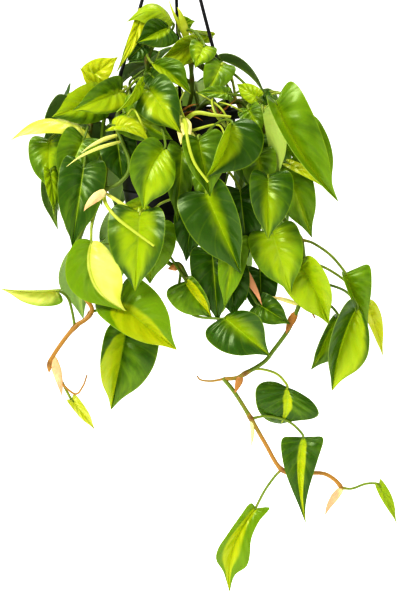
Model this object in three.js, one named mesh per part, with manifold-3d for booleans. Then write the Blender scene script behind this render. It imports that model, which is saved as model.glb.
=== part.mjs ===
// A brasil philodendron in a hanging nursery pot with a snapped-on saucer.
// Millimetres, +Z up. The origin is where the hook bears on what it hangs from.
import * as THREE from "three";
import { mergeVertices } from "three/addons/utils/BufferGeometryUtils.js";
import Module from "manifold-3d";

const wasm = await Module();
wasm.setup();

// Driving dimensions. Heights are counted from the underside of the saucer.
const RIM_HEIGHT = 118;
const RIM_RADIUS = 76;
const WALL_TOP_RADIUS = 68.4;
const WALL_BASE_RADIUS = 50.6;
const POT_WALL = 1.6;
const FLOOR_HEIGHT = 4;
const FOOT_RADIUS = 44;
const FLANGE = 2;
const SKIRT = 9;
const SAUCER_RADIUS = 54;
const SAUCER_HEIGHT = 9;
const SAUCER_WALL = 1.6;
const DRAIN_RADIUS = 4;
const DRAIN_COUNT = 4;
const GAP = 0.3;
const ROUND = 24;

const SOIL_TOP = 105;
const SOIL_DOME = 5;
const SOIL_LUMP = 1.6;
const ROOT_DEPTH = 20;
const HOLE_RADIUS = 3.8;
const HOLE_LENGTH = 60;

const STRAND_AZIMUTHS = [-35, 85, 205];
const STRAND_RADIUS = 1.8;
const STRAND_FOOT = [2.6, 5, 12];
const STRAND_BARB = [3.4, 8, 2.4];
const SLOT = [3.6, 6.2];
const FOOT_CIRCLE = 71.6;
const HUB_HEIGHT = 340;
const HUB_LENGTH = 16;
const HUB_RADIUS = 6;
const HOOK_RADIUS = 11;
const HOOK_WIRE = 2.3;
const HOOK_CENTRE = 374;
const HOOK_BEARING = HOOK_CENTRE + HOOK_RADIUS - HOOK_WIRE;

const STEM_RADIUS = 2.3;
const STEM_STEP = 17;
const STARTS = [0.25, 0.5, 0.75, 1];
const PETIOLE_RADIUS = 1.2;
const BLADE = 0.8;
const CLEAR_BLADE = 1.4;
const BEND_STEP = 3;
const BENDS = [0, 1, -1, 2, -2, 3, -3, 4, 5, 6, 7];
const USUAL_PETIOLE = 42;
const STALK_SINK = 2.4;
const STALK_END = 0.3;
const SMOOTHING = 0.04;
const STANDING = 2;

// The view that the places of the front leaves are read in: a camera far in front,
// looking slightly down, with its picture 400 by 593 and 1.1 mm to a pixel at the pot.
const PICTURE_CENTRE = [200, 296.5];
const VIEW_DISTANCE = 1650;
const VIEW_SCALE = 1.1;
const VIEW_PITCH = THREE.MathUtils.degToRad(9.7);
const VIEW_AIM = new THREE.Vector3(28.6, 0, -87);
const FORWARD = new THREE.Vector3(0, Math.cos(VIEW_PITCH), -Math.sin(VIEW_PITCH));
const UPWARD = new THREE.Vector3(0, Math.sin(VIEW_PITCH), Math.cos(VIEW_PITCH));
const EYE = VIEW_AIM.clone().addScaledVector(FORWARD, -VIEW_DISTANCE);

// A blade on the line from its joint to its tip, in steps of an eighth: how far along the
// midrib's point is, and how far along and across the margin's point is. Most halves are
// heart-shaped, and a few that are bent or seen aslant have an outline of another kind.
const MIDRIB = [0, 0.015, 0.05, 0.11, 0.2, 0.32, 0.48, 0.7, 1];
const OUTLINES = {
  heart: {
    along: [0, -0.07, -0.09, 0, 0.18, 0.4, 0.63, 0.83, 1],
    across: [0, 0.38, 0.74, 0.95, 1, 0.93, 0.68, 0.25, 0],
  },
  round: {
    along: [0, -0.14, -0.2, -0.08, 0.14, 0.38, 0.62, 0.83, 1],
    across: [0, 0.3, 0.68, 0.96, 1, 0.92, 0.68, 0.26, 0],
  },
  sloped: {
    along: [0, 0.03, 0.1, 0.2, 0.34, 0.5, 0.66, 0.83, 1],
    across: [0, 0.25, 0.5, 0.74, 0.93, 1, 0.8, 0.32, 0],
  },
  square: {
    along: [0, -0.01, -0.01, 0.05, 0.2, 0.38, 0.57, 0.78, 1],
    across: [0, 0.5, 0.9, 1, 0.88, 0.68, 0.42, 0.16, 0],
  },
  oval: {
    along: [0, -0.08, -0.04, 0.12, 0.38, 0.64, 0.86, 0.98, 1],
    across: [0, 0.35, 0.75, 0.98, 1, 0.88, 0.62, 0.3, 0],
  },
  waisted: {
    along: [0, -0.05, -0.02, 0.12, 0.32, 0.5, 0.64, 0.78, 1],
    across: [0, 0.5, 0.66, 0.62, 0.74, 1, 0.95, 0.35, 0],
  },
};
const ROWS = [0.2, 0.42, 0.64, 0.84];
const FEW_ROWS = [0.24, 0.52, 0.8];
const SHORT_LEAF = 78;

// Front stems: name, root [azimuth, radius], where it crosses the rim [azimuth], and its
// runs, each a list of picture places [across, down, depth].
const FRONT_VINES = [
  ["vine_left", [228, 44], [228], [[
    [116, 126, -78], [122, 142, -90], [129, 160, -97], [128, 173, -100], [118, 184, -101],
    [104, 191, -102], [93, 208, -99], [80, 236, -94], [71, 262, -92], [75, 282, -95],
    [85, 298, -99], [92, 309, -102], [86, 319, -105], [76, 326, -107], [64, 340, -109],
    [51, 360, -111], [49, 372, -112]]]],
  ["vine_far_left", [190, 44], [188], [[
    [92, 118, -22], [88, 140, -44], [84, 165, -62], [80, 190, -74], [76, 214, -80]]]],
  ["vine_centre_left", [248, 40], [248], [[
    [152, 124, -88], [147, 150, -94], [143, 180, -96], [145, 205, -94], [152, 230, -90],
    [160, 252, -90], [170, 264, -94], [178, 264, -98], [184, 272, -100], [189, 282, -101]]]],
  ["vine_centre", [276, 42], [276], [[
    [186, 124, -90], [204, 150, -97], [212, 180, -97], [222, 210, -95], [232, 240, -94],
    [237, 262, -93], [241, 285, -92], [246, 300, -92]]]],
  ["vine_trailing", [302, 44], [303], [
    [[224, 124, -80], [238, 142, -90], [252, 165, -94], [268, 195, -92], [286, 222, -90],
      [300, 238, -90], [304, 262, -92], [303, 285, -94], [300, 302, -96], [293, 320, -98],
      [287, 332, -99], [273, 351, -100], [264, 362, -101], [246, 373, -102],
      [236, 378, -102], [221, 379, -102]],
    [[223, 378, -102], [235, 393, -104], [250, 417, -106], [265, 443, -106],
      [280, 468, -104], [297, 475, -99], [313, 473, -97], [325, 474, -96], [335, 480, -95],
      [342, 488, -95]]]],
  ["vine_right", [342, 40], [344], [[
    [256, 112, -34], [265, 128, -50], [273, 150, -62], [280, 175, -70], [286, 198, -74]]]],
  ["vine_crown_left", [165, 20], [], [[
    [150, 92, -8], [147, 64, -14], [150, 48, -14], [161, 40, -12]]]],
  ["vine_crown_right", [20, 16], [], [[
    [192, 92, -4], [191, 66, -8], [189, 46, -8], [184, 32, -6]]]],
];

// Stems at the sides and back: azimuth, and how far each hangs below the rim.
const BACK_VINES = [[2, 150], [29, 110], [56, 190], [101, 130], [127, 170], [152, 90], [172, 80]];

// Front leaves: vine, joint and tip as picture places, width to length, roll, folds of the
// left and right halves in degrees, bow off the face, sway to the right, colouring, and
// the outlines of the left and right halves where they aren't both heart-shaped.
const FRONT_LEAVES = [
  ["vine_far_left", [84, 129, -62], [11, 140, -80], 0.46, -70, -10, -40, 0.18, 0, "lime"],
  ["vine_far_left", [100, 100, -36], [52, 117, -56], 0.75, 0, 10, 10, 0.05, 0, "centre"],
  ["vine_far_left", [122, 91, -70], [72, 111, -92], 0.62, 0, 15, 12, 0.08, 0, "centre"],
  ["vine_far_left", [142, 82, -84], [117, 112, -98], 0.5, 65, 10, 10, 0.05, 0, "lime"],
  ["vine_far_left", [50, 140, -60], [50, 193, -78], 0.78, -15, 5, 20, 0.08, 0, "streak"],
  ["vine_far_left", [84, 138, -78], [60, 190, -92], 0.75, 0, 10, 10, 0.06, 0, "dark"],
  ["vine_far_left", [84, 165, -100], [72, 247, -118], 0.58, 0, 12, 12, 0.06, 0, "streak"],
  ["vine_far_left", [50, 170, -84], [54, 214, -90], 0.4, 30, 10, 10, 0.04, 0, "pale"],
  ["vine_far_left", [90, 77, -36], [118, 57, -46], 0.72, 0, 10, 10, 0.05, 0, "gold"],
  ["vine_far_left", [101, 90, -28], [80, 68, -34], 0.5, 0, 15, 15, 0.05, 0, "pale"],
  ["vine_left", [92, 241, -122], [126, 311, -126], 0.74, 0, 20, 10, 0.06, -0.2,
    "half_gold", "heart", "sloped"],
  ["vine_left", [117, 302, -110], [177, 350, -118], 0.86, 0, 50, 5, 0.07, 0, "centre", "round", "heart"],
  ["vine_left", [126, 331, -92], [111, 410, -96], 0.86, 0, 55, 5, 0.06, 0, "half_gold"],
  ["vine_left", [58, 291, -96], [1, 289, -100], 0.52, 0, 84, 5, -0.02, 0.03, "lime"],
  ["vine_left", [72, 400, -112], [95, 430, -114], 0.35, 20, 20, 20, 0.03, 0, "half_gold"],
  ["vine_left", [117, 139, -88], [123, 184, -94], 0.85, 0, 10, 10, 0.06, 0, "dark"],
  ["vine_centre_left", [140, 213, -108], [135, 292, -114], 0.78, 0, 0, 35, 0.08, 0, "centre"],
  ["vine_centre_left", [148, 226, -96], [150, 284, -100], 0.95, 0, 10, 5, 0.06, 0, "dark"],
  ["vine_centre_left", [165, 148, -122], [144, 210, -132], 0.8, 0, 25, 10, 0.1, -0.1,
    "half_lime", "heart", "sloped"],
  ["vine_centre_left", [148, 88, -92], [181, 133, -110], 0.8, 0, 8, 8, 0.08, 0, "centre"],
  ["vine_centre_left", [124, 112, -90], [173, 140, -104], 0.72, 0, 10, 10, 0.05, 0, "dark"],
  ["vine_centre_left", [113, 126, -104], [150, 143, -114], 0.55, 35, 20, 20, 0.12, 0.1, "gold"],
  ["vine_centre_left", [186, 281, -106], [212, 318, -106], 1.1, 0, 5, 70, 0.05, 0, "half_gold"],
  ["vine_centre_left", [193, 205, -94], [186, 262, -98], 0.62, 0, 10, 10, 0.06, 0, "dark"],
  ["vine_centre_left", [146, 204, -98], [112, 216, -104], 0.5, 0, 10, 10, 0.06, 0, "pale"],
  ["vine_centre_left", [224, 317, -112], [270, 356, -130], 0.95, 0, 5, 40, 0.1, 0,
    "streak", "heart", "sloped"],
  ["vine_centre", [198, 138, -110], [210, 196, -118], 0.86, 0, 50, 5, 0.06, 0, "dark"],
  ["vine_centre", [232, 123, -112], [206, 177, -128], 1.15, 0, 75, 5, 0.08, 0.1,
    "centre", "sloped", "round"],
  ["vine_centre", [182, 148, -98], [177, 222, -102], 0.42, 0, 10, 10, 0.06, 0, "dark"],
  ["vine_centre", [203, 172, -112], [217, 233, -118], 0.4, 0, 10, 10, 0.05, 0, "streak"],
  ["vine_centre", [206, 192, -116], [241, 274, -124], 0.74, 0, 5, 50, 0.06, 0, "half_lime"],
  ["vine_centre", [240, 190, -100], [248, 258, -104], 0.66, 0, 10, 10, 0.05, 0, "dark"],
  ["vine_centre", [236, 240, -108], [224, 308, -114], 0.42, 0, 10, 10, 0.05, 0, "lime"],
  ["vine_centre", [212, 252, -100], [218, 322, -104], 0.66, 0, 10, 10, 0.05, 0, "dark"],
  ["vine_centre", [258, 304, -92], [290, 324, -98], 0.75, 0, 10, 10, 0.05, 0, "dark"],
  ["vine_centre", [230, 268, -90], [234, 318, -92], 0.75, 0, 10, 10, 0.05, 0, "dark"],
  ["vine_centre", [260, 270, -92], [262, 320, -94], 0.7, 0, 10, 10, 0.05, 0, "dark"],
  ["vine_centre", [250, 140, -90], [254, 194, -96], 0.8, 0, 10, 10, 0.05, 0, "dark"],
  ["vine_trailing", [288, 164, -96], [331, 192, -104], 0.36, 60, 10, 10, 0.04, 0, "pale"],
  ["vine_trailing", [286, 166, -90], [312, 238, -98], 0.55, 0, 10, 10, 0.06, 0, "dark"],
  ["vine_trailing", [258, 152, -104], [262, 200, -110], 0.74, 0, 10, 10, 0.06, 0, "dark"],
  ["vine_trailing", [268, 176, -120], [268, 240, -130], 0.8, 0, 45, 5, 0.08, 0, "lime"],
  ["vine_trailing", [272, 232, -112], [291, 294, -122], 0.82, 0, 8, 8, 0.08, 0, "pale_centre"],
  ["vine_trailing", [300, 265, -106], [329, 325, -112], 0.78, 0, 8, 50, 0.08, 0.04, "centre"],
  ["vine_trailing", [345, 273, -98], [369, 336, -90], 0.72, 0, 82, 5, 0.06, 0,
    "streak", "heart", "square"],
  ["vine_trailing", [338, 318, -94], [311, 370, -88], 0.76, 0, 75, 5, 0.06, 0, "centre"],
  ["vine_trailing", [357, 308, -116], [332, 391, -118], 0.62, 0, 60, 5, 0.08, -0.04,
    "centre", "heart", "sloped"],
  ["vine_trailing", [368, 306, -84], [383, 356, -88], 0.36, 40, 10, 10, 0.04, 0, "gold"],
  ["vine_trailing", [287, 387, -98], [281, 424, -92], 1.6, 0, 5, 5, 0.15, 0.08, "rib", "oval", "sloped"],
  ["vine_trailing", [303, 437, -96], [306, 524, -100], 0.48, 0, 8, 15, 0.05, -0.05,
    "rib", "square", "square"],
  ["vine_trailing", [256, 508, -98], [230, 593, -102], 0.4, 0, 40, 10, 0.06, -0.11,
    "rib", "waisted", "waisted"],
  ["vine_trailing", [379, 485, -92], [397, 524, -94], 0.36, 50, 10, 10, 0.03, 0, "lime"],
  ["vine_crown_left", [152, 63, -58], [191, 94, -76], 0.62, 0, 70, 10, 0.08, 0.05,
    "half_lime", "sloped", "sloped"],
  ["vine_right", [222, 64, -44], [205, 98, -68], 0.72, 0, 10, 10, 0.08, 0, "dark"],
  ["vine_right", [229, 94, -78], [196, 93, -88], 0.46, -30, 10, 10, 0.06, 0, "lime"],
  ["vine_right", [258, 98, -62], [237, 84, -40], 0.55, 0, 10, 10, 0.06, 0, "lime"],
  ["vine_right", [267, 108, -70], [268, 88, -60], 0.55, 0, 10, 10, 0.05, 0, "dark"],
  ["vine_right", [248, 108, -86], [262, 137, -98], 0.72, 0, 10, 10, 0.06, 0, "dark"],
  ["vine_right", [263, 110, -92], [278, 183, -108], 0.6, 160, 10, 80, -0.05, 0, "pale"],
  ["vine_right", [276, 103, -98], [338, 201, -110], 0.5, 0, 75, 8, 0.09, -0.04, "rib"],
  ["vine_right", [300, 128, -76], [333, 190, -86], 0.6, 0, 10, 10, 0.06, 0, "dark"],
  ["vine_crown_left", [173, 24, -10], [127, 22, -26], 0.66, -50, -10, -58, 0.35, 0,
    "lime", "heart", "sloped"],
  ["vine_crown_left", [169, 27, -22], [136, 43, -34], 0.92, 0, 31, 12, 0.06, 0,
    "centre", "sloped", "heart"],
  ["vine_crown_left", [143, 45, -28], [127, 61, -38], 0.8, 0, 10, 10, 0.05, 0, "dark"],
  ["vine_crown_right", [200, 40, -14], [160, 60, -34], 0.7, 0, 55, 5, 0.1, 0,
    "lime", "sloped", "oval"],
  ["vine_crown_right", [204, 46, -24], [195, 68, -46], 0.9, 0, 10, 10, 0.06, 0, "lime"],
  ["vine_crown_right", [211, 37, 36], [185, 29, 30], 0.55, 40, 10, 10, 0.05, 0, "pale"],
  ["vine_crown_right", [180, 25, 0], [195, 21, -8], 1.0, 0, 10, 10, 0.05, 0, "dark"],
  ["vine_right", [268, 128, -30], [282, 196, -34], 0.78, 60, 10, 10, 0.06, 0, "dark"],
  ["vine_right", [258, 150, -10], [262, 214, -16], 0.78, 75, 10, 10, 0.06, 0, "dark"],
  ["vine_far_left", [92, 124, -42], [84, 190, -48], 0.78, -65, 10, 10, 0.06, 0, "dark"],
  ["vine_far_left", [84, 150, -14], [80, 214, -18], 0.78, -75, 10, 10, 0.06, 0, "dark"],
  ["vine_crown_left", [142, 15, -14], [116, 73, -40], 0.18, 0, 10, 10, 0.05, 0.03, "gold"],
  ["vine_crown_left", [152, 68, -10], [166, 86, -20], 0.9, 0, 10, 10, 0.05, 0, "dark"],
  ["vine_crown_left", [150, 74, -30], [176, 98, -44], 0.8, 0, 10, 10, 0.05, 0, "dark"],
];

// Leaves whose stalk starts at a known place on the stem: the leaf's joint, the place, and
// how much the stalk rises at its start.
const USUAL_LIFT = 0.32;
const KNOWN_STARTS = [
  [[92, 241], [104, 192], 0.1], [[224, 317], [182, 264], 0.05], [[345, 273], [302, 238], 0.16],
  [[357, 308], [303, 285], 0.2], [[338, 318], [301, 303], 0.2], [[368, 306], [304, 262], 0.2],
  [[287, 387], [246, 374], 0.32], [[303, 437], [251, 418], 0.2], [[256, 508], [281, 469], 0.1],
  [[379, 485], [342, 488], -0.2],
];

// Rolled leaves and papery sheaths: vine, place on the stem, far end, radius.
const SPINDLES = [
  ["vine_left", [117, 136, -84], [81, 153, -96], 2.4],
  ["vine_left", [98, 197, -101], [83, 213, -106], 4],
  ["vine_left", [104, 192, -103], [154, 246, -128], 2.2],
  ["vine_left", [51, 358, -111], [62, 396, -114], 5],
  ["vine_far_left", [88, 150, -52], [66, 167, -72], 2.6],
  ["vine_centre_left", [178, 263, -98], [168, 269, -102], 4],
  ["vine_centre_left", [185, 273, -100], [193, 291, -104], 2.6],
  ["vine_centre", [189, 132, -94], [208, 182, -136], 2.4],
  ["vine_centre", [187, 113, -92], [181, 145, -118], 4.6],
  ["vine_centre", [238, 262, -93], [262, 305, -108], 4.6],
  ["vine_trailing", [304, 306, -96], [264, 297, -104], 2.4],
  ["vine_trailing", [296, 312, -98], [286, 334, -103], 4.4],
  ["vine_trailing", [241, 376, -102], [235, 393, -110], 4],
  ["vine_trailing", [251, 420, -106], [251, 447, -110], 2.2],
  ["vine_trailing", [341, 489, -95], [325, 515, -98], 4.4],
  ["vine_crown_right", [186, 38, -8], [169, 0, -14], 2.2],
  ["vine_crown_right", [187, 40, -9], [177, 7, -16], 4.4],
];

// Aerial roots and bare shoots: vine, radius, then places from the stem to the far end.
const ROOTS = [
  ["vine_left", 1.3, [
    [52, 366, -112], [60, 381, -113], [75, 394, -114], [83, 386, -113], [87, 375, -112]]],
  ["vine_trailing", 1.3, [[225, 379, -102], [212, 381, -103], [201, 380, -104], [197, 376, -104]]],
  ["vine_trailing", 1.3, [[301, 303, -96], [309, 308, -100], [315, 318, -103]]],
  ["vine_trailing", 0.9, [[304, 262, -92], [310, 263, -99], [316, 274, -103], [323, 278, -105]]],
  ["vine_centre", 2, [[186, 117, -90], [200, 113, -92], [214, 116, -92]]],
];

const COLOURS = { plastic: 0x141414, soil: 0x4a3320, leaf: 0x4f7d16, leafBack: 0x3f6a14 };

function finish(name, colour, roughness) {
  return new THREE.MeshStandardMaterial({ name, color: colour, roughness, metalness: 0 });
}

// A closed geometry of any three.js kind as a solid with its faces out.
function solid(geometry) {
  const bare = geometry.index ? geometry.toNonIndexed() : geometry.clone();
  bare.deleteAttribute("normal");
  bare.deleteAttribute("uv");
  const merged = mergeVertices(bare, 1e-4);
  const at = merged.attributes.position;
  const index = Array.from(merged.index.array);
  const kept = [];
  for (let i = 0; i < index.length; i += 3) {
    const [a, b, c] = index.slice(i, i + 3);
    if (a !== b && b !== c && c !== a) kept.push(a, b, c);
  }
  const point = (i) => new THREE.Vector3().fromBufferAttribute(at, i);
  let volume = 0;
  for (let i = 0; i < kept.length; i += 3) {
    volume += point(kept[i]).dot(point(kept[i + 1]).cross(point(kept[i + 2])));
  }
  if (volume < 0) kept.reverse();
  const mesh = new wasm.Mesh({
    numProp: 3,
    vertProperties: new Float32Array(at.array),
    triVerts: new Uint32Array(kept),
  });
  return new wasm.Manifold(mesh);
}

function pieceMesh(name, body, material) {
  const got = body.getMesh();
  const geometry = new THREE.BufferGeometry();
  const places = new Float32Array(got.vertProperties);
  geometry.setAttribute("position", new THREE.BufferAttribute(places, 3));
  geometry.setIndex(new THREE.BufferAttribute(new Uint32Array(got.triVerts), 1));
  geometry.computeVertexNormals();
  const mesh = new THREE.Mesh(geometry, material);
  mesh.name = name;
  return mesh;
}

function turned(profile) {
  const points = profile.map(([radius, height]) => new THREE.Vector2(radius, height));
  return new THREE.LatheGeometry(points, ROUND).rotateX(Math.PI / 2);
}

function polar(azimuth, radius, height) {
  const angle = THREE.MathUtils.degToRad(azimuth);
  return new THREE.Vector3(radius * Math.cos(angle), radius * Math.sin(angle), height);
}

function joined(bodies) {
  return wasm.Manifold.union(bodies);
}

function smoothCurve(points) {
  return new THREE.CatmullRomCurve3(points, false, "catmullrom", 0.5);
}

// A round rod along a smooth curve, its far end drawn in to a share of the radius.
function rod(points, radius, sides, steps, end = 1) {
  const ring = [];
  for (let i = 0; i < sides; i += 1) {
    const angle = (2 * Math.PI * i) / sides;
    ring.push(new THREE.Vector2(radius * Math.cos(angle), radius * Math.sin(angle)));
  }
  const route = { steps, extrudePath: smoothCurve(points) };
  const geometry = new THREE.ExtrudeGeometry(new THREE.Shape(ring), route);
  if (end < 1) drawIn(geometry, points[points.length - 1], radius, end);
  return solid(geometry);
}

function drawIn(geometry, middle, radius, share) {
  const at = geometry.attributes.position;
  const point = new THREE.Vector3();
  for (let i = 0; i < at.count; i += 1) {
    point.fromBufferAttribute(at, i);
    if (point.distanceTo(middle) > radius + 0.01) continue;
    point.lerp(middle, 1 - share);
    at.setXYZ(i, point.x, point.y, point.z);
  }
}

// A straight spindle from one point to another, fattest a third of the way along.
function spindle(from, to, radius) {
  const length = from.distanceTo(to);
  const profile = [[0, -1], [0.6, 0], [1, 0.35 * length], [0.5, 0.8 * length], [0, length]];
  const points = profile.map(([share, height]) => new THREE.Vector2(share * radius, height));
  const turn = new THREE.Quaternion().setFromUnitVectors(
    new THREE.Vector3(0, 1, 0), to.clone().sub(from).normalize());
  const shape = new THREE.LatheGeometry(points, 5).applyQuaternion(turn);
  return solid(shape.translate(from.x, from.y, from.z));
}

function block(width, depth, height, azimuth, radius, z) {
  const place = polar(azimuth, radius, z);
  const box = new THREE.BoxGeometry(width, depth, height);
  box.rotateZ(THREE.MathUtils.degToRad(azimuth));
  return solid(box.translate(place.x, place.y, place.z));
}

// Pot: floor on a foot ring, tapered wall, bead that the saucer snaps over, flange and skirt.
function outerRadius(height) {
  const share = (height - FLOOR_HEIGHT) / (RIM_HEIGHT - FLANGE - FLOOR_HEIGHT);
  return THREE.MathUtils.lerp(WALL_BASE_RADIUS, WALL_TOP_RADIUS, share);
}

function makePot() {
  const under = RIM_HEIGHT - FLANGE;
  const wall = (height) => outerRadius(height) - POT_WALL;
  const profile = [
    [0, FLOOR_HEIGHT], [FOOT_RADIUS - 2, FLOOR_HEIGHT], [FOOT_RADIUS - 2, SAUCER_WALL + GAP],
    [FOOT_RADIUS, SAUCER_WALL + GAP], [FOOT_RADIUS, FLOOR_HEIGHT], [WALL_BASE_RADIUS, FLOOR_HEIGHT],
    [outerRadius(5) + 0.9, 5.4], [outerRadius(6.4), 6.8],
    [outerRadius(under), under], [RIM_RADIUS - POT_WALL, under],
    [RIM_RADIUS - POT_WALL, RIM_HEIGHT - SKIRT], [RIM_RADIUS, RIM_HEIGHT - SKIRT],
    [RIM_RADIUS, RIM_HEIGHT - 0.8], [RIM_RADIUS - 0.8, RIM_HEIGHT],
    [wall(RIM_HEIGHT), RIM_HEIGHT], [wall(FLOOR_HEIGHT + POT_WALL), FLOOR_HEIGHT + POT_WALL],
    [0, FLOOR_HEIGHT + POT_WALL],
  ];
  let pot = solid(turned(profile));
  for (const azimuth of STRAND_AZIMUTHS) {
    pot = pot.subtract(block(SLOT[0], SLOT[1], 3 * FLANGE, azimuth, FOOT_CIRCLE, RIM_HEIGHT - FLANGE / 2));
  }
  for (let i = 0; i < DRAIN_COUNT; i += 1) {
    const drain = new THREE.CylinderGeometry(DRAIN_RADIUS, DRAIN_RADIUS, 8, 6).rotateX(Math.PI / 2);
    const place = polar((360 * i) / DRAIN_COUNT, FOOT_RADIUS * 0.6, FLOOR_HEIGHT);
    pot = pot.subtract(solid(drain.translate(place.x, place.y, place.z)));
  }
  return pot;
}

function makeSaucer() {
  const lip = SAUCER_RADIUS - SAUCER_WALL;
  const profile = [
    [0, 0], [SAUCER_RADIUS - 3, 0], [SAUCER_RADIUS - 0.6, 3], [SAUCER_RADIUS, SAUCER_HEIGHT],
    [outerRadius(SAUCER_HEIGHT) + GAP, SAUCER_HEIGHT], [outerRadius(7.6) + GAP, 7.6],
    [lip, 6.8], [lip - 0.3, 3.4], [SAUCER_RADIUS - 4, SAUCER_WALL], [0, SAUCER_WALL],
  ];
  return solid(turned(profile));
}

// Potting mix: fills the pot to below its rim, with a lumpy top and a hole for each stem.
function makeSoil(stems) {
  const base = FLOOR_HEIGHT + POT_WALL + GAP;
  const inside = (height) => outerRadius(height) - POT_WALL - GAP - 0.2;
  const rings = [0.9, 0.68, 0.44, 0.2];
  const profile = [[0, base], [inside(base), base], [inside(SOIL_TOP), SOIL_TOP - 1]];
  for (const share of rings) profile.push([inside(SOIL_TOP) * share, SOIL_TOP]);
  profile.push([0, SOIL_TOP]);
  const geometry = turned(profile);
  const at = geometry.attributes.position;
  for (let i = 0; i < at.count; i += 1) {
    if (at.getZ(i) > SOIL_TOP - 0.5) {
      const x = at.getX(i);
      const y = at.getY(i);
      const rise = SOIL_DOME * (1 - (x * x + y * y) / inside(SOIL_TOP) ** 2);
      const lump = SOIL_LUMP * Math.sin(0.19 * x + 1) * Math.cos(0.23 * y);
      at.setZ(i, SOIL_TOP + rise + lump);
    }
  }
  let soil = solid(geometry);
  for (const { root } of stems) {
    const hole = new THREE.CylinderGeometry(HOLE_RADIUS, HOLE_RADIUS, HOLE_LENGTH, 6);
    hole.rotateX(Math.PI / 2);
    const middle = SOIL_TOP - ROOT_DEPTH - GAP + HOLE_LENGTH / 2;
    soil = soil.subtract(solid(hole.translate(root.x, root.y, middle)));
  }
  return soil;
}

// Hanger: a moulded hub and hook with three strands, each with a barbed foot in its slot.
function makeHanger() {
  const parts = [];
  for (const azimuth of STRAND_AZIMUTHS) {
    const path = [
      polar(azimuth, FOOT_CIRCLE, RIM_HEIGHT + 1), polar(azimuth, FOOT_CIRCLE - 1, RIM_HEIGHT + 8),
      polar(azimuth, FOOT_CIRCLE * 0.5, (RIM_HEIGHT + HUB_HEIGHT) / 2 + 3),
      polar(azimuth, HUB_RADIUS * 0.4, HUB_HEIGHT + 5),
    ];
    parts.push(rod(path, STRAND_RADIUS, 6, 5));
    const [thick, wide, tall] = STRAND_FOOT;
    parts.push(block(thick, wide, tall, azimuth, FOOT_CIRCLE, RIM_HEIGHT));
    const barb = RIM_HEIGHT - tall / 2 + STRAND_BARB[2] / 2;
    parts.push(block(...STRAND_BARB, azimuth, FOOT_CIRCLE, barb));
  }
  const top = HUB_HEIGHT + HUB_LENGTH;
  const hub = new THREE.LatheGeometry([
    new THREE.Vector2(0, HUB_HEIGHT), new THREE.Vector2(HUB_RADIUS, HUB_HEIGHT),
    new THREE.Vector2(HUB_RADIUS, HUB_HEIGHT + HUB_LENGTH * 0.6),
    new THREE.Vector2(HOOK_WIRE, top), new THREE.Vector2(0, top),
  ], 8);
  parts.push(solid(hub.rotateX(Math.PI / 2)));
  const bend = [new THREE.Vector3(0, 0, top - 4), new THREE.Vector3(1, 0, top + 2)];
  for (let angle = -45; angle <= 210; angle += 25.5) {
    const turn = THREE.MathUtils.degToRad(angle);
    const x = HOOK_RADIUS * Math.cos(turn);
    bend.push(new THREE.Vector3(x, 0, HOOK_CENTRE + HOOK_RADIUS * Math.sin(turn)));
  }
  parts.push(rod(bend, HOOK_WIRE, 6, 14));
  return joined(parts);
}

// A repeatable source of numbers from 0 to 1.
function draws(seed) {
  let state = seed;
  return (low, high) => {
    state = (state * 1664525 + 1013904223) % 4294967296;
    return low + (high - low) * (state / 4294967296);
  };
}

// The place at a given depth that the camera of the picture sees at [across, down].
function seen([across, down, depth]) {
  const focal = VIEW_DISTANCE / VIEW_SCALE;
  const ray = FORWARD.clone();
  ray.x += (across - PICTURE_CENTRE[0]) / focal;
  ray.addScaledVector(UPWARD, (PICTURE_CENTRE[1] - down) / focal);
  return EYE.clone().addScaledVector(ray, (depth - EYE.y) / ray.y);
}

function outOfSoil(azimuth, radius) {
  return [-ROOT_DEPTH, -0.3 * ROOT_DEPTH, 9].map((rise) => polar(azimuth, radius, SOIL_TOP + rise));
}

function overRim(azimuth) {
  return [
    polar(azimuth, 0.82 * RIM_RADIUS, RIM_HEIGHT + 7), polar(azimuth, RIM_RADIUS, RIM_HEIGHT + 8),
    polar(azimuth, RIM_RADIUS + 9, RIM_HEIGHT - 3),
  ];
}

function frontVine([name, [azimuth, radius], rim, routes]) {
  const start = outOfSoil(azimuth, radius);
  if (rim.length) start.push(...overRim(rim[0]));
  const runs = routes.map((route) => route.map(seen));
  runs[0] = start.concat(runs[0]);
  return { name, root: start[0], runs };
}

function backVine([azimuth, drop], number) {
  const draw = draws(100 + number);
  const points = outOfSoil(azimuth, 46).concat(overRim(azimuth));
  const spans = Math.round(drop / 30);
  let side = azimuth;
  for (let i = 1; i <= spans; i += 1) {
    side += draw(-5, 5);
    points.push(polar(side, RIM_RADIUS + 12 + draw(0, 6), RIM_HEIGHT - 3 - (i * drop) / spans));
  }
  return { name: `vine_back_${number + 1}`, root: points[0], runs: [points], azimuth, drop };
}

// A leaf's frame: its axis from joint to tip, its face, and the way across it.
function leafFrame(leaf) {
  const axis = leaf.tip.clone().sub(leaf.joint);
  const length = axis.length();
  axis.normalize();
  const face = leaf.outward.clone().addScaledVector(axis, -leaf.outward.dot(axis)).normalize();
  const across = face.clone().cross(axis);
  const roll = THREE.MathUtils.degToRad(leaf.roll);
  const rolled = face.clone().multiplyScalar(Math.cos(roll)).addScaledVector(across, Math.sin(roll));
  return { axis, length, face: rolled, across: rolled.clone().cross(axis) };
}

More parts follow.
